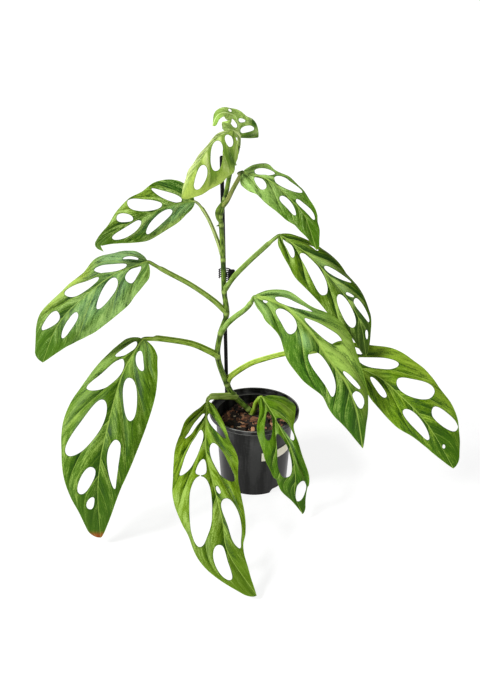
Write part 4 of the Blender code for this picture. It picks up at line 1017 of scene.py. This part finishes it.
growLeaf("leaf_05", {
    "midrib": [(-132, -4, 317), (-166, -17, 309), (-189, -27, 297), (-210, -38, 282),
               (-230, -48, 265), (-245, -56, 243), (-259, -64, 208)],
    "faces": ((-0.1, -0.6, 0.8), (-0.2, -0.8, 0.55)),
    "left": (18, 34, 42, 31, 33, 29, 33, 21, 14),
    "right": (21, 34, 43, 45, 44, 41, 32, 17, 0),
    "bends": ((0, -45), (2, -30)),
    "holes": [(0.05, -7, 0.14, -16, 4.5, -0.5, 0), (0.14, -4, 0.32, -23, 11, 0.7, 0),
              (0.06, 3, 0.18, 20, 13, -0.2, -0.2), (0.33, -6, 0.56, -22, 15.5, 0.2, -0.4),
              (0.24, 7, 0.47, 25, 14, 0.1, 0.3), (0.67, -7, 0.81, -18, 14, 0.1, 0.4),
              (0.58, 11.5, 0.79, 13.5, 10, 0.1, 0.2)],
    "petiole": [(-36, 20, 237), (-54, 16, 257), (-81, 10, 280), (-110, 3, 300), (-124, -2, 311)],
    "petioleRadius": 2.8,
    "looks": {"base": (100, 134, 24), "tip": (60, 94, 6), "turning": (0.3, 0.95),
              "ribPaint": 0.5, "contrast": 1.15, "laneShadeAndLight": 0.45, "mottleAndHighlightColour": (164, 196, 112),
              # the first patch is painted sheen near the base; the third, greyish, is painted sheen beside
              # the midrib
              "patches": [(0.15, -0.7, 0.2, 0.7, (128, 166, 112), 0.9),
                          (0.5, -0.95, 0.2, 0.35, (166, 190, 78), 0.9),
                          (0.35, 0.35, 0.35, 0.45, (108, 148, 92), 0.9),
                          (0.35, 0.95, 0.4, 0.2, (140, 176, 100), 0.8),
                          (0.9, 0.0, 0.12, 1.2, (70, 108, 20), 0.8)],
              "stalk": (108, 138, 44), "stalkPale": (152, 178, 84)},
})

growLeaf("leaf_06", {
    "midrib": [(30, 8, 347), (61, -6, 330), (82, -15, 311), (101, -26, 292), (118, -36, 271),
               (130, -43, 246), (137, -46, 208)],
    "faces": ((0.1, -0.55, 0.8), (0.25, -0.85, 0.5)),
    "left": (12, 24, 32, 32, 31, 30, 24, 13, 3),
    "right": (6, 17, 23, 29, 27, 25, 17, 10, 2),
    "bends": ((2, -40), (0, -50)),
    "holes": [(0.04, -2, 0.16, -17, 8, 0.4, 0.2), (0.18, -6, 0.49, -21, 15.5, 0.4, -0.1),
              (0.18, 12, 0.25, 13.5, 3.5, 0, -0.4), (0.35, 4, 0.53, 20, 7.5, -0.5, 0.1),
              (0.56, 3, 0.61, 8.5, 3.5, -0.2, 0.2), (0.62, 8, 0.79, 12, 8.5, -0.2, 0.4),
              (0.54, -6.5, 0.78, -10, 15, -0.2, 0), (0.83, 5.5, 0.89, 4.5, 4, 0, 0.1)],
    "petiole": [(-39, 21, 267), (-27, 9, 290), (-8, 6, 312), (12, 6, 331.5), (21, 7, 340)],
    "petioleRadius": 2.8,
    "looks": {"base": (92, 122, 18), "tip": (60, 86, 6), "turning": (0.2, 0.8),
              # the patch is painted sheen beside the midrib
              "patches": [(0.45, 0.15, 0.25, 0.25, (136, 164, 100), 0.7)],
              "stalk": (94, 124, 38), "stalkPale": (138, 166, 80)},
})

growLeaf("leaf_07", {
    "midrib": [(-1, -22, 278), (22, -36, 278), (41, -50, 271), (66, -69, 251), (87, -82, 222),
               (109, -92, 193), (122, -98, 159), (132, -100, 108)],
    "faces": ((0.0, -0.7, 0.7), (0.1, -0.85, 0.5)),
    "left": (11, 27, 31, 42, 41, 33, 31, 16, 0),
    "right": (6, 18, 22, 39, 41, 26, 19, 9, 1),
    "bends": ((2, -30), (2, -30)),
    "holes": [(0.05, -3, 0.08, -4.5, 3.5, 0, 0), (0.11, 4, 0.28, 18.5, 7.5, -0.6, 0.5),
              (0.15, -8.5, 0.30, -17.5, 16, 0.3, -0.2), (0.28, 5, 0.47, 24, 12.5, -0.4, -0.5),
              (0.43, -14.5, 0.67, -22, 16.5, 0.5, 0.4), (0.59, 5, 0.70, 12.5, 5, -0.4, 0),
              (0.70, 4, 0.79, 7, 11, 0.3, 0.1)],
    "petiole": [(-44, 18, 209), (-35.5, 10, 225.5), (-25.5, 4, 238), (-15, -3, 249.5), (-7, -12, 262)],
    "petioleRadius": 3.1,
    "looks": {"base": (100, 134, 34), "tip": (56, 94, 4), "turning": (0.3, 0.85),
              "laneShadeAndLight": 0.55, "stalk": (104, 140, 52), "stalkPale": (148, 178, 92), "ribBand": 2.6,
              "patches": [(0.5, -0.6, 0.45, 0.6, (52, 100, 18), 0.75),
                          (0.05, -0.5, 0.1, 0.6, (140, 176, 100), 0.7),
                          (0.16, 0.6, 0.2, 0.6, (130, 166, 96), 0.7),
                          # the next patch is a small painted highlight
                          (0.36, -0.3, 0.05, 0.16, (136, 176, 110), 0.8),
                          (0.5, 0.45, 0.15, 0.5, (160, 194, 86), 0.9),
                          (0.75, 0.6, 0.1, 0.5, (118, 140, 50), 0.6)]},
})

growLeaf("leaf_08", {
    "midrib": [(92, -14, 202), (128, -34, 188), (156, -49, 179), (179, -66, 164), (202, -83, 146),
               (220, -99, 125), (241, -120, 92)],
    "faces": ((0.15, -0.85, 0.5), (0.25, -0.85, 0.45)),
    "left": (8, 9, 19, 28, 31, 31, 22, 13, 1),
    "right": (15, 26, 35, 44, 48, 44, 39, 26, 8),
    "bends": ((-14, -30), (4, -20)),
    "holes": [(0.06, 9.5, 0.19, 17.5, 7.5, 0.5, 0), (0.18, 9, 0.38, 27.5, 13, -0.7, -0.2),
              (0.30, -5.5, 0.45, -14, 8, -0.2, -0.1), (0.43, 10, 0.62, 32.5, 23.5, -0.2, -0.1),
              (0.67, 16, 0.83, 28.5, 17.5, 0, 0.1), (0.57, -10.5, 0.80, -9.5, 12.5, 0.1, 0.3),
              (0.86, 4, 0.88, 1.5, 3.5, 0, 0)],
    "petiole": [(-36, 18, 135), (-30, 17, 147), (-8, 13, 165.5), (11, 9, 175.5), (41, 2, 187.5),
                (73, -8, 195)],
    "petioleRadius": 3.0,
    "looks": {"base": (86, 118, 8), "tip": (54, 88, 4), "turning": (0.55, 0.85),
              "mottleAndHighlightColour": (144, 174, 60),
              "patches": [(0.45, 0.9, 0.35, 0.25, (134, 162, 50), 0.7)],
              "laneShadeAndLight": 0.5, "contrast": 1.25, "stalk": (130, 162, 34), "stalkPale": (178, 204, 86)},
})

growLeaf("leaf_09", {
    "midrib": [(-140, -30, 224), (-163, -65, 193), (-180, -118, 138), (-187, -136, 103),
               (-190, -146, 66), (-189, -152, 13)],
    "faces": ((-0.1, -0.75, 0.65), (-0.1, -0.9, 0.4)),
    "left": (16, 26, 41, 56, 58, 51, 42, 24, 12),
    "right": (24, 40, 47, 47, 43, 37, 27, 16, 2),
    "bends": ((4, -30), (4, -30)),
    "holes": [(0.03, -4.5, 0.135, -17, 8, 0.6, 0.2), (0.06, 5.5, 0.15, 21.5, 9.5, -0.2, 0),
              (0.14, -5, 0.30, -36, 20, 0.5, 0), (0.21, 11, 0.41, 26.5, 17, 0, 0.1),
              (0.34, -13, 0.62, -43.5, 25.5, 0.5, 0), (0.51, 16, 0.74, 21, 13.5, -0.4, 0.5),
              (0.65, -7.5, 0.78, -21.5, 14.5, 0, 0), (0.79, -5.5, 0.85, -10.5, 8.5, -0.2, -0.3)],
    "petiole": [(-48, 16, 177), (-60, 11, 187), (-83, 2, 202), (-118, -17, 217.5), (-129, -25, 221.5)],
    "petioleRadius": 3.4,
    "looks": {"base": (78, 112, 10), "tip": (56, 90, 6), "ribPaint": 0.5,
              "mottleAndHighlightColour": (148, 178, 82), "laneShadeAndLight": 0.5,
              "patches": [(0.12, -0.8, 0.25, 0.4, (140, 176, 80), 0.7),
                          (0.08, 0.35, 0.1, 0.3, (140, 178, 92), 0.6),
                          (1.0, 0.0, 0.026, 5.0, (150, 66, 36), 1.0)]},
})

growLeaf("leaf_10", {
    "midrib": [(-62, -14, 126), (-62, -69, 112), (-59, -110, 101), (-40, -187, 69),
               (-32, -221, 45), (0, -249, 7)],
    "faces": ((0.0, -0.5, 0.85), (0.1, -0.6, 0.8)),
    "left": (3, 26, 35, 44, 51, 47, 38, 23, 7),
    "right": (8, 21, 31, 37, 30, 28, 23, 12, 0),
    "bends": ((2, -25), (2, -25)),
    "holes": [(0.08, -2.5, 0.24, -25, 4.5, 0.2, 0), (0.19, -5.5, 0.41, -35, 13.5, 0.7, 0),
              (0.355, -4, 0.435, -13.5, 11.5, 0, -0.4), (0.442, -12, 0.75, -29, 27, -0.1, 0),
              (0.08, 3.5, 0.235, 24.5, 9.5, -0.3, 0.1), (0.275, 9, 0.495, 23, 17, -0.1, 0),
              (0.50, 3, 0.54, 5, 4, -0.1, 0), (0.57, 9, 0.80, 15, 16, 0.1, 0.4),
              (0.76, -7, 0.89, -13.5, 14.5, -0.3, 0.1)],
    "petiole": [(-24, 16, 116), (-34, 9, 120), (-47, 0, 125), (-58, -9, 129)],
    "petioleRadius": 3.5,
    "wings": 0.5,
    "looks": {"base": (118, 148, 22), "tip": (88, 118, 22), "contrast": 1.15, "laneShadeAndLight": 0.7,
              "patches": [(0.2, 0.6, 0.2, 0.6, (112, 152, 48), 0.7),
                          (0.8, -0.6, 0.18, 0.5, (84, 112, 22), 0.7)],
              "stalk": (136, 166, 66), "stalkPale": (176, 200, 106)},
})

growLeaf("leaf_11", {
    "midrib": [(10, -14, 133), (23, -47, 127), (33, -70, 117), (45, -85, 98), (51, -95, 65),
               (50, -98, 47), (53, -100, 30), (61, -102, 11)],
    "faces": ((0.0, -0.5, 0.85), (0.1, -0.9, 0.4)),
    "left": (7, 13, 26, 32, 35, 31, 23, 6, 0),
    "right": (24, 36, 27, 16, 11, 14, 18, 14, 5),
    "bends": ((2, -20), (-6, -25)),
    "holes": [(0.165, -4.5, 0.375, -21.5, 9, 0.5, -0.2), (0.25, 2.5, 0.45, 7, 9.5, 0.5, 0),
              (0.36, -7, 0.70, -11, 16, -0.3, -0.4), (0.73, 10, 0.90, 3, 13, 0.3, 0.1)],
    "petiole": [(-3, 13, 92), (1, 9, 102), (3, 4, 113), (7, -4, 124)],
    "petioleRadius": 2.9,
    "looks": {"base": (84, 120, 8), "tip": (56, 94, 6), "mottleAndHighlight": 0.5, "contrast": 0.8,
              "laneShadeAndLight": 0.6,
              "patches": [(0.22, 0.6, 0.15, 0.4, (112, 136, 44), 0.7),
                          # the next patch is a painted highlight, a glossy pale streak beside the midrib
                          (0.47, 0.25, 0.12, 0.12, (160, 192, 120), 0.8)]},
})


# The stem

stem = {
    "points": [  # place and radius, from the foot in the soil to the growing tip
        (6.0, 12.0, 62.0, 3.6), (1.0, 13.0, 86.0, 3.9), (-8.0, 14.0, 99.0, 3.7), (-26.0, 16.0, 117.0, 3.9),
        (-36.0, 16.5, 135.0, 3.9), (-48.0, 16.0, 176.0, 3.8), (-44.0, 18.0, 209.0, 3.6),
        (-36.0, 19.0, 237.0, 3.4), (-39.0, 20.0, 267.0, 3.3), (-40.0, 21.0, 310.0, 3.2),
        (-42.0, 22.0, 355.0, 3.0), (-43.0, 22.0, 366.0, 2.9), (-37.0, 20.0, 389.0, 2.9),
        (-30.0, 17.0, 424.0, 2.7), (-22.5, 14.0, 448.0, 2.6), (-20.0, 13.0, 462.0, 2.1),
    ],
    "buried": 2,  # how many of them, from the foot, are no node
    "step": 1.2,
    "columns": 28,
    "upward": (0.0, -1.0, 0.05),  # the side where turn 0 lies
    "nodeSwell": (0.12, 3.2),  # as a share of the radius, and its half-width
    "grooves": 5,
    "grooveDepth": 0.025,
    "browned": (110.0, 25.0),  # below this height, and over what height it comes in
    "sheath": [(-42.5, 21.0, 356.0), (-48.0, 19.5, 364.0), (-48.5, 18.5, 375.0), (-38.5, 18.6, 389.0)],
    "sheathBulge": 1.6,
    "sheathThickness": 0.8,
    "sheathColumns": 10,
    "nub": [(-43.0, 21.0, 355.0), (-46.0, 20.0, 354.6), (-48.0, 19.5, 354.0)],
    "nubRadii": (1.4, 0.6),
    "nubColumns": 14,
    "looks": {"stalk": (46, 72, 8), "stalkPale": (118, 146, 56), "stalkDark": (22, 32, 4),
              "ring": (150, 174, 90)},
}


def growStem():
    # The stem's radius is the nearest points' mean, weighted by 1 / (distance + 1)^2 and swollen at
    # each node by a narrow bell; fine grooves wind along it, and its tip is drawn in. It is pale at
    # each node and browned beside it, and browned near the soil
    rows = np.array(stem["points"])
    knots, sizes = rows[:, :3], rows[:, 3]
    path = smoothPath(knots, stem["step"])
    gaps = np.linalg.norm(path[:, None] - knots[None], axis=-1)
    weights = 1.0 / (gaps + 1.0) ** 2
    radii = (weights * sizes).sum(axis=1) / weights.sum(axis=1)
    nearest = gaps[:, stem["buried"]:].min(axis=1)
    swell, swellWide = stem["nodeSwell"]
    radii = radii * (1.0 + swell * bell(nearest, 0.0, swellWide))
    turn = turns(stem["columns"])
    winding = stem["grooves"] * turn[None] + 0.03 * lengthsAlong(path)[:, None]
    rings = radii[:, None] * (1.0 + stem["grooveDepth"] * np.sin(winding))
    rings[-1] *= 0.4
    around = np.minimum(turn, 2 * np.pi - turn) / np.pi
    below, reach = stem["browned"]
    tone = 0.55 * bell(nearest, 3.4, 1.4) + 0.5 * smoothStep(below - path[:, 2], 0.0, reach)
    light = 0.7 * bell(nearest, 0.6, 1.6)
    finish = stalkFinish("stem_skin", stem["looks"], 0.0)
    addStalk("stem_skin", path, rings, stem["upward"], (around, np.clip(tone, 0, 1), light), finish, "stem")
    addPart("stem_nub", *nubTube(), finish, 0.15)
    addPart("stem_sheath", *sheathSheet(path), finish, 0.0)


def addPart(name, points, faces, finish, tone):
    # A small part of the stem in its skin, browned evenly by tone, with streaks that run upwards
    points = points.reshape(-1, 3)
    zeros = np.zeros(len(points))
    values = {"along": points[:, 2], "around": zeros, "tone": zeros + tone, "light": zeros}
    addPiece(name, points, faces, finish, "stem", ["stem"], values)


def nubTube():
    # A short tube that narrows evenly and is drawn in at its end
    line = smoothPath(stem["nub"], 0.8)
    slim = ringed(np.linspace(*stem["nubRadii"], len(line)), stem["nubColumns"])
    slim[-1] *= 0.3
    return tube(line, slim, stem["upward"])


def sheathSheet(path):
    # The dry sheath: straight lines from its edge to the stem's middle, bulging forward between them
    edge = smoothPath(stem["sheath"], 1.0)
    heights = np.linspace(edge[0, 2], edge[-1, 2], len(edge))
    rising = path[np.argsort(path[:, 2])]
    middle = readPath(heights, rising[:, 2], rising)
    t = np.linspace(0.0, 1.0, stem["sheathColumns"])[None, :, None]
    grid = edge[:, None] * (1 - t) + middle[:, None] * t
    grid[..., 1] -= stem["sheathBulge"] * np.sin(np.pi * t[..., 0])
    return gridShell(grid, stem["sheathThickness"])


growStem()
print("stem grown")


# The pot

pot = {
    "rimRadius": 60.0,
    "height": 107.0,
    "band": 6.0,
    "topRadius": 51.5,
    "baseRadius": 45.0,
    "wall": 1.4,
    "floor": 1.6,
    "columns": 192,
    "sharp": 40.0,  # degrees between faces from which an edge stays sharp
    "roundings": (1.2, 1.0, 0.7, 0.75, 0.75, 0.9, 0.9, 1.2),  # of the profile's corners, from the base's edge
    "notchHeight": 9.0,
    "notchHalfWidth": 14.0,
    "notchInner": 35.0,
    "notchColumns": 96,
    "looks": {"black": (0.004, 0.004, 0.0035), "dustAndSheenLift": 0.045, "dustAndSheenTop": 95.0, "specular": 0.17,
              "roughness": 0.3, "grain": 0.12, "paintedHighlights": [(107.0, 0.7, 0.7), (101.4, 0.8, 0.5)]},
}


def potRadius(height):
    # The outer wall's radius, which grows evenly from the base to the underside of the rim band
    flare = pot["topRadius"] - pot["baseRadius"]
    return pot["baseRadius"] + flare * height / (pot["height"] - pot["band"])


def roundedProfile(corners, rounding):
    # Each corner of the profile becomes a short curve: its point blends to points a rounding away
    corners = np.asarray(corners, float)
    points = [corners[0]]
    t = np.linspace(0, 1, 6)[:, None]
    for before, corner, after, size in zip(corners[:-2], corners[1:-1], corners[2:], rounding):
        start = corner + (before - corner) / np.linalg.norm(before - corner) * size
        end = corner + (after - corner) / np.linalg.norm(after - corner) * size
        points.extend((1 - t) ** 2 * start + 2 * t * (1 - t) * corner + t ** 2 * end)
    points.append(corners[-1])
    return np.array(points)


def turnPot():
    # A closed profile turned round: out along the base, up the wall, round the rim band and back down
    # inside. The band is 1.6 mm thick, leans in by 0.4 mm to its underside, and stands on a shelf. Then
    # four round tubes, one to a quarter, are cut out of its foot as drain notches: a tube's radius is
    # (half-width^2 + height^2) / (2 height), the circle through a notch's foot and top
    rim, height, floor = pot["rimRadius"], pot["height"], pot["floor"]
    bandBottom = height - pot["band"]
    corners = [
        (0.0, 0.0), (pot["baseRadius"], 0.0), (pot["topRadius"], bandBottom - 0.4),
        (rim - 0.4, bandBottom), (rim, height), (rim - 1.6, height), (rim - 2.0, bandBottom + 1.4),
        (pot["topRadius"] - pot["wall"], bandBottom + 1.0), (pot["baseRadius"] - pot["wall"], floor),
        (0.0, floor),
    ]
    profile = roundedProfile(corners, pot["roundings"])
    faces = turnedFaces(len(profile), pot["columns"])
    finish = plasticFinish("pot_plastic", pot["looks"])
    shell = addPiece("pot_shell", turnedGrid(profile, pot["columns"]), faces, finish, "pot", ["pot"],
                     sharp=pot["sharp"])
    radius = (pot["notchHalfWidth"] ** 2 + pot["notchHeight"] ** 2) / (2 * pot["notchHeight"])
    for quarter in range(4):
        angle = math.radians(45 + 90 * quarter)
        outward = np.array([math.cos(angle), math.sin(angle), 0.0])
        lift = np.array([0.0, 0.0, pot["notchHeight"] - radius])
        line = np.linspace(pot["notchInner"], rim, 3)[:, None] * outward + lift
        points, faces = tube(line, np.full((3, pot["notchColumns"]), radius), (0.0, 0.0, 1.0))
        scoop = newObject("scoop", newMesh("scoop", points, faces))
        cut = shell.modifiers.new("notch", "BOOLEAN")
        cut.object = scoop
        cut.operation = "DIFFERENCE"
        bpy.context.view_layer.update()
        carved = bpy.data.meshes.new_from_object(shell.evaluated_get(bpy.context.evaluated_depsgraph_get()))
        shell.modifiers.clear()
        shell.data = carved
        bpy.data.objects.remove(scoop, do_unlink=True)
    shell.data.set_sharp_from_angle(angle=math.radians(pot["sharp"]))


turnPot()
print("pot turned")


# The soil

soil = {
    "top": 88.0,
    "rings": 60,
    "columns": 180,
    "wallGap": 0.35,
    "floorGap": 0.3,
    "lowerEdge": (4.0, 2.0),  # in from the pot's base radius and up: cut off to clear the pot's corner
    "side": (4.0, 12),  # how far below the top its straight side ends, and its rows
    "crumbs": ((9.0, 0.5), (5.2, 0.45), (3.1, 0.35), (2.2, 0.25)),  # wavelength and height
    "crumbShare": 0.6,
    "mix": [(0.3, (10, 8, 6)), (0.5, (30, 23, 18)), (0.66, (66, 46, 32)), (0.8, (104, 76, 54))],
    "seed": 12,
    "chips": 1100,
    "chipRings": (5, 7),  # rings and columns of one chip
    "chipSize": (1.1, 5.4, 3.2),  # least half-length, what the largest has more, and how rare that is
    "chipNarrow": (0.4, 0.75),
    "chipThin": (0.16, 0.4),
    "chipDent": 0.22,
    "chipTilt": 0.42,
    "chipFullness": 0.6,  # power of its waves: 1 is a ball, and less is squarer
    "chipInset": 1.0,  # from the pot's wall
    "chipRise": (0.25, -0.2, 0.5),  # above the soil: a share of its size, and the least and most beside it
    "chipShade": (0.7, 1.3),  # darkest and palest, as a share of its colour
    "barkColours": [(40, 28, 20), (84, 52, 34), (132, 88, 60), (18, 14, 11), (172, 128, 94), (196, 180, 152)],
    "barkShares": [0.31, 0.26, 0.14, 0.2, 0.075, 0.015],
}


def soilHeight(x, y):
    # The gently uneven top: a long swell and a shorter ripple
    swell = np.sin(0.13 * x + 1.0) * np.cos(0.11 * y)
    ripple = np.sin(0.31 * x - 0.27 * y) * np.sin(0.29 * y + 2.0)
    return soil["top"] + 1.2 * swell + 0.8 * ripple


def fillSoil():
    # A turned body whose top rows follow the uneven height, with crumbs as short random waves
    draw = np.random.default_rng(soil["seed"])
    clear = pot["wall"] + soil["wallGap"]
    topRadius = potRadius(soil["top"]) - pot["wall"] - soil["wallGap"]
    bottom = pot["floor"] + soil["floorGap"]
    edgeIn, edgeUp = soil["lowerEdge"]
    sideBelow, sideRows = soil["side"]
    levels = np.linspace(bottom + edgeUp, soil["top"] - sideBelow, sideRows)
    side = [(potRadius(height) - clear, height) for height in levels]
    profile = [(0.0, bottom), (pot["baseRadius"] - edgeIn, bottom)] + side
    below = len(profile)
    profile += [(radius, soil["top"]) for radius in np.linspace(0.0, topRadius, soil["rings"])[::-1]]
    grid = turnedGrid(profile, soil["columns"])
    top = grid[below:]
    crumbs = np.zeros(top.shape[:2])
    for wavelength, height in np.repeat(soil["crumbs"], 3, axis=0):
        angle = randomTurn(draw)
        walk = (math.cos(angle) * top[..., 0] + math.sin(angle) * top[..., 1]) / wavelength
        crumbs += height * np.sin(2 * np.pi * walk + randomTurn(draw))
    top[..., 2] = soilHeight(top[..., 0], top[..., 1]) + crumbs * soil["crumbShare"]
    finish = Finish("potting_mix", Roughness=0.95)
    lumps = finish.noise(finish.place(), 260.0, 5.0, 0.7)
    fine = finish.noise(finish.place(), 1300.0, 2.0, 0.6)
    stops = [(share, paint(*colour)) for share, colour in soil["mix"]]
    colour = finish.node("ShaderNodeValToRGB", {"stops": stops}, {"Fac": lumps}, out="Color")
    made = finish.show(Base_Color=colour, Normal=finish.bump(lumps * 0.6 + fine * 0.4, 0.9, 1.2))
    addPiece("soil_body", grid, turnedFaces(len(profile), soil["columns"]), made, "soil", ["soil"])
    strewBark(draw, topRadius)


def turned(first, second, angle):
    # A pair of coordinates turned by each chip's own angle
    c, s = np.cos(angle)[:, None, None], np.sin(angle)[:, None, None]
    return first * c - second * s, first * s + second * c


def strewBark(draw, topRadius):
    # Bark chips: one small rounded block, copied with its own size, turn and dents, and laid on the
    # soil's top. The larger ones are fewer, and the root of a random share spreads them evenly
    rings, columns = soil["chipRings"]
    count = soil["chips"]
    least, more, rarity = soil["chipSize"]
    size = least + more * draw.random(count) ** rarity
    narrow = draw.uniform(*soil["chipNarrow"], count)
    thin = draw.uniform(*soil["chipThin"], count)
    halves = np.stack([size, size * narrow, size * thin], axis=1)
    dents = 1.0 + draw.uniform(-soil["chipDent"], soil["chipDent"], (count, rings, columns, 1))
    dents[:, [0, -1]] = dents[:, [0, -1], :1]
    points = roundedBlock(rings, columns, soil["chipFullness"])[None] * dents * halves[:, None, None]
    heading = draw.uniform(0, 2 * np.pi, count)
    y, z = turned(points[..., 1], points[..., 2], draw.normal(0.0, soil["chipTilt"], count))
    x, y = turned(points[..., 0], y, heading)
    away = (topRadius - soil["chipInset"] - size) * np.sqrt(draw.random(count))
    angle = draw.uniform(0, 2 * np.pi, count)
    centreX, centreY = away * np.cos(angle), away * np.sin(angle)
    share, low, high = soil["chipRise"]
    centreZ = soilHeight(centreX, centreY) + share * size + draw.uniform(low, high, count)
    centres = np.stack([centreX, centreY, centreZ], axis=1)
    points = np.stack([x, y, z], axis=-1) + centres[:, None, None]
    # A triangle is written as a square with its last corner twice, so that all copies fit one array
    one = np.array([face + [face[-1]] if len(face) == 3 else face for face in turnedFaces(rings, columns)])
    quads = one[None] + (np.arange(count) * rings * columns)[:, None, None]
    kinds = draw.choice(len(soil["barkColours"]), count, p=soil["barkShares"])
    tints = np.array([paint(*colour) for colour in soil["barkColours"]])[kinds]
    tints = tints * draw.uniform(*soil["chipShade"], (count, 1))
    finish = Finish("bark", Roughness=0.85)
    grain = finish.noise(finish.place(), 700.0, 3.0, 0.65)
    tint = finish.attribute("ground", out="Color")
    colour = finish.mix(finish.ramp(grain, 0.4, 0.7) * 0.6, tint, paint(24, 17, 13))
    made = finish.show(Base_Color=colour, Normal=finish.bump(grain, 0.7, 0.5))
    addPiece("soil_bark", points, faceList(quads), made, "soil", ["soil"],
             ground=np.repeat(tints, rings * columns, axis=0), sharp=28.0)


fillSoil()
print("soil filled")


# The stake and its clip

stake = {
    "foot": (-35.5, 21.5, 30.0),
    "top": (-41.0, 31.0, 439.0),
    "radius": 2.5,
    "columns": 28,
    "rows": 60,
    "rowsEnd": 0.985,  # share of the rod that the even rows reach
    "endRows": (2.0, 1.3, 0.8, 0.4, 0.1, 0.0),  # parts of endWhole that the last rows lie below the top
    "endWhole": 417.0,
    "looks": {"black": (0.003, 0.003, 0.003), "dustAndSheenLift": 0.006, "dustAndSheenTop": 430.0, "specular": 0.12,
              "roughness": 0.3, "grain": 0.1},
}


def plantStake():
    # A straight rod whose last 2 mm are rounded: the radius times sqrt(1 - (1 - distance / 2)^2), but
    # never less than sqrt(0.02) of it, which leaves a small face at the top
    foot, top = np.array(stake["foot"]), np.array(stake["top"])
    roundedEnd = 1.0 - np.array(stake["endRows"]) / stake["endWhole"]
    rise = np.concatenate([np.linspace(0.0, stake["rowsEnd"], stake["rows"]), roundedEnd])
    short = np.clip((1.0 - rise) * np.linalg.norm(top - foot) / 2.0, 0.0, 1.0)
    radii = stake["radius"] * np.sqrt(np.clip(1.0 - (1.0 - short) ** 2, 0.02, 1.0))
    points, faces = tube(foot + np.outer(rise, top - foot), ringed(radii, stake["columns"]), (0.0, -1.0, 0.0))
    addPiece("stake_rod", points, faces, plasticFinish("stake_plastic", stake["looks"]), "stake", ["stake"])


clip = {
    "centre": (-29.5, 24.5, 288.0),
    "size": (9.0, 9.0, 13.0),
    "bodyRings": (13, 28),  # rings and columns
    "bodyFullness": 0.35,
    "sharp": 70.0,
    "prongs": 5,
    "step": 2.6,
    "wire": 0.8,
    "wireColumns": 12,
    "wireEnd": (0.45, 0.25),  # share of the radius at its end, and what each ring further in adds
    "courses": [  # of two prongs at one height, from the body's middle: behind the stem and before it
        [(0.0, 2.0), (-4.0, 8.5), (-9.0, 9.5), (-14.0, 7.5), (-16.0, 4.5), (-15.0, 1.5)],
        [(-2.0, -2.0), (-5.5, -5.5), (-6.5, -8.5)],
    ],
}


def closeClip():
    # A rounded block, and on it prongs of bent wire in even steps of height, thinner towards their ends
    x, y, z = clip["centre"]
    finish = plasticFinish("clip_plastic", stake["looks"])
    body = roundedBlock(*clip["bodyRings"], clip["bodyFullness"])
    body = body * np.array(clip["size"]) / 2 + np.array(clip["centre"])
    faces = turnedFaces(*clip["bodyRings"])
    addPiece("clip_body", body, faces, finish, "clip", ["clip"], sharp=clip["sharp"])
    atEnd, perRing = clip["wireEnd"]
    points, faces = np.zeros((0, 3)), []
    for index in range(clip["prongs"]):
        height = z + clip["step"] * (index - (clip["prongs"] - 1) / 2)
        for course in clip["courses"]:
            path = smoothPath([(x + right, y + back, height) for right, back in course], 1.0)
            radii = clip["wire"] * np.minimum(1.0, atEnd + perRing * np.arange(len(path))[::-1])
            wire, wireFaces = tube(path, ringed(radii, clip["wireColumns"]), (0.0, 0.0, 1.0), len(points))
            points = np.vstack([points, wire.reshape(-1, 3)])
            faces += wireFaces
    addPiece("clip_prongs", points, faces, finish, "clip", ["clip"])


plantStake()
closeClip()
print("stake and clip placed")


# The label

label = {
    "start": -79.0,  # degrees round the pot from the right
    "end": -25.0,
    "middle": 61.5,
    "rise": 1.5,
    "height": 12.5,
    "thickness": 0.35,
    "standOff": 0.55,
    "cells": (80, 14),
    "cream": (240, 234, 214),
    "stain": (206, 192, 160),
    "fibre": (184, 172, 148),
}


def stickLabel():
    # A strip bent round the pot's wall: its radius is the wall's plus a stand-off that waves by 0.06 mm,
    # and its long edges wave by 0.06 mm too
    long, tall = label["cells"]
    along, up = np.meshgrid(np.linspace(0, 1, long), np.linspace(-0.5, 0.5, tall), indexing="ij")
    angle = np.radians(label["start"] + (label["end"] - label["start"]) * along)
    height = label["middle"] + label["rise"] * along + label["height"] * up
    height += 0.12 * np.sin(9 * along) * np.abs(up)
    radius = potRadius(height) + label["standOff"] + 0.06 * np.sin(14 * along + 4 * up)
    grid = np.stack([radius * np.cos(angle), radius * np.sin(angle), height], axis=-1)
    finish = Finish("label_card", Roughness=0.75)
    fibres = finish.noise(finish.place((1.0, 1.0, 2.5)), 420.0, 4.0, 0.7)
    stain = finish.noise(finish.place(), 45.0, 2.0)
    cream, stained, fibre = (paint(*label[key]) for key in ("cream", "stain", "fibre"))
    colour = finish.mix(finish.ramp(stain, 0.45, 0.75) * 0.35, cream, stained)
    colour = finish.mix(finish.ramp(fibres, 0.5, 0.8) * 0.2, colour, fibre)
    made = finish.show(Base_Color=colour, Normal=finish.bump(fibres, 0.3, 0.2))
    addPiece("label_strip", *gridShell(grid, label["thickness"]), made, "label", ["label"])


stickLabel()
print("label stuck on")


# The floor is a wide pale disc of its own, lit a little from within so that it stays nearly white

floorRings = [(0.0, 0.0), (400.0, 0.0), (2500.0, 0.0), (40000.0, 0.0)]  # radius and height
floorColumns = 96
floorPaper = Finish("floor_paper", Base_Color=(0.2, 0.2, 0.2), Roughness=0.9,
                    Emission_Color=(1.0, 1.0, 1.0), Emission_Strength=0.86)
floorMesh = newMesh("floor", turnedGrid(floorRings, floorColumns),
                    turnedFaces(len(floorRings), floorColumns, lastPole=False))
floorMesh.materials.append(floorPaper.made)
floor = newObject("floor", floorMesh)
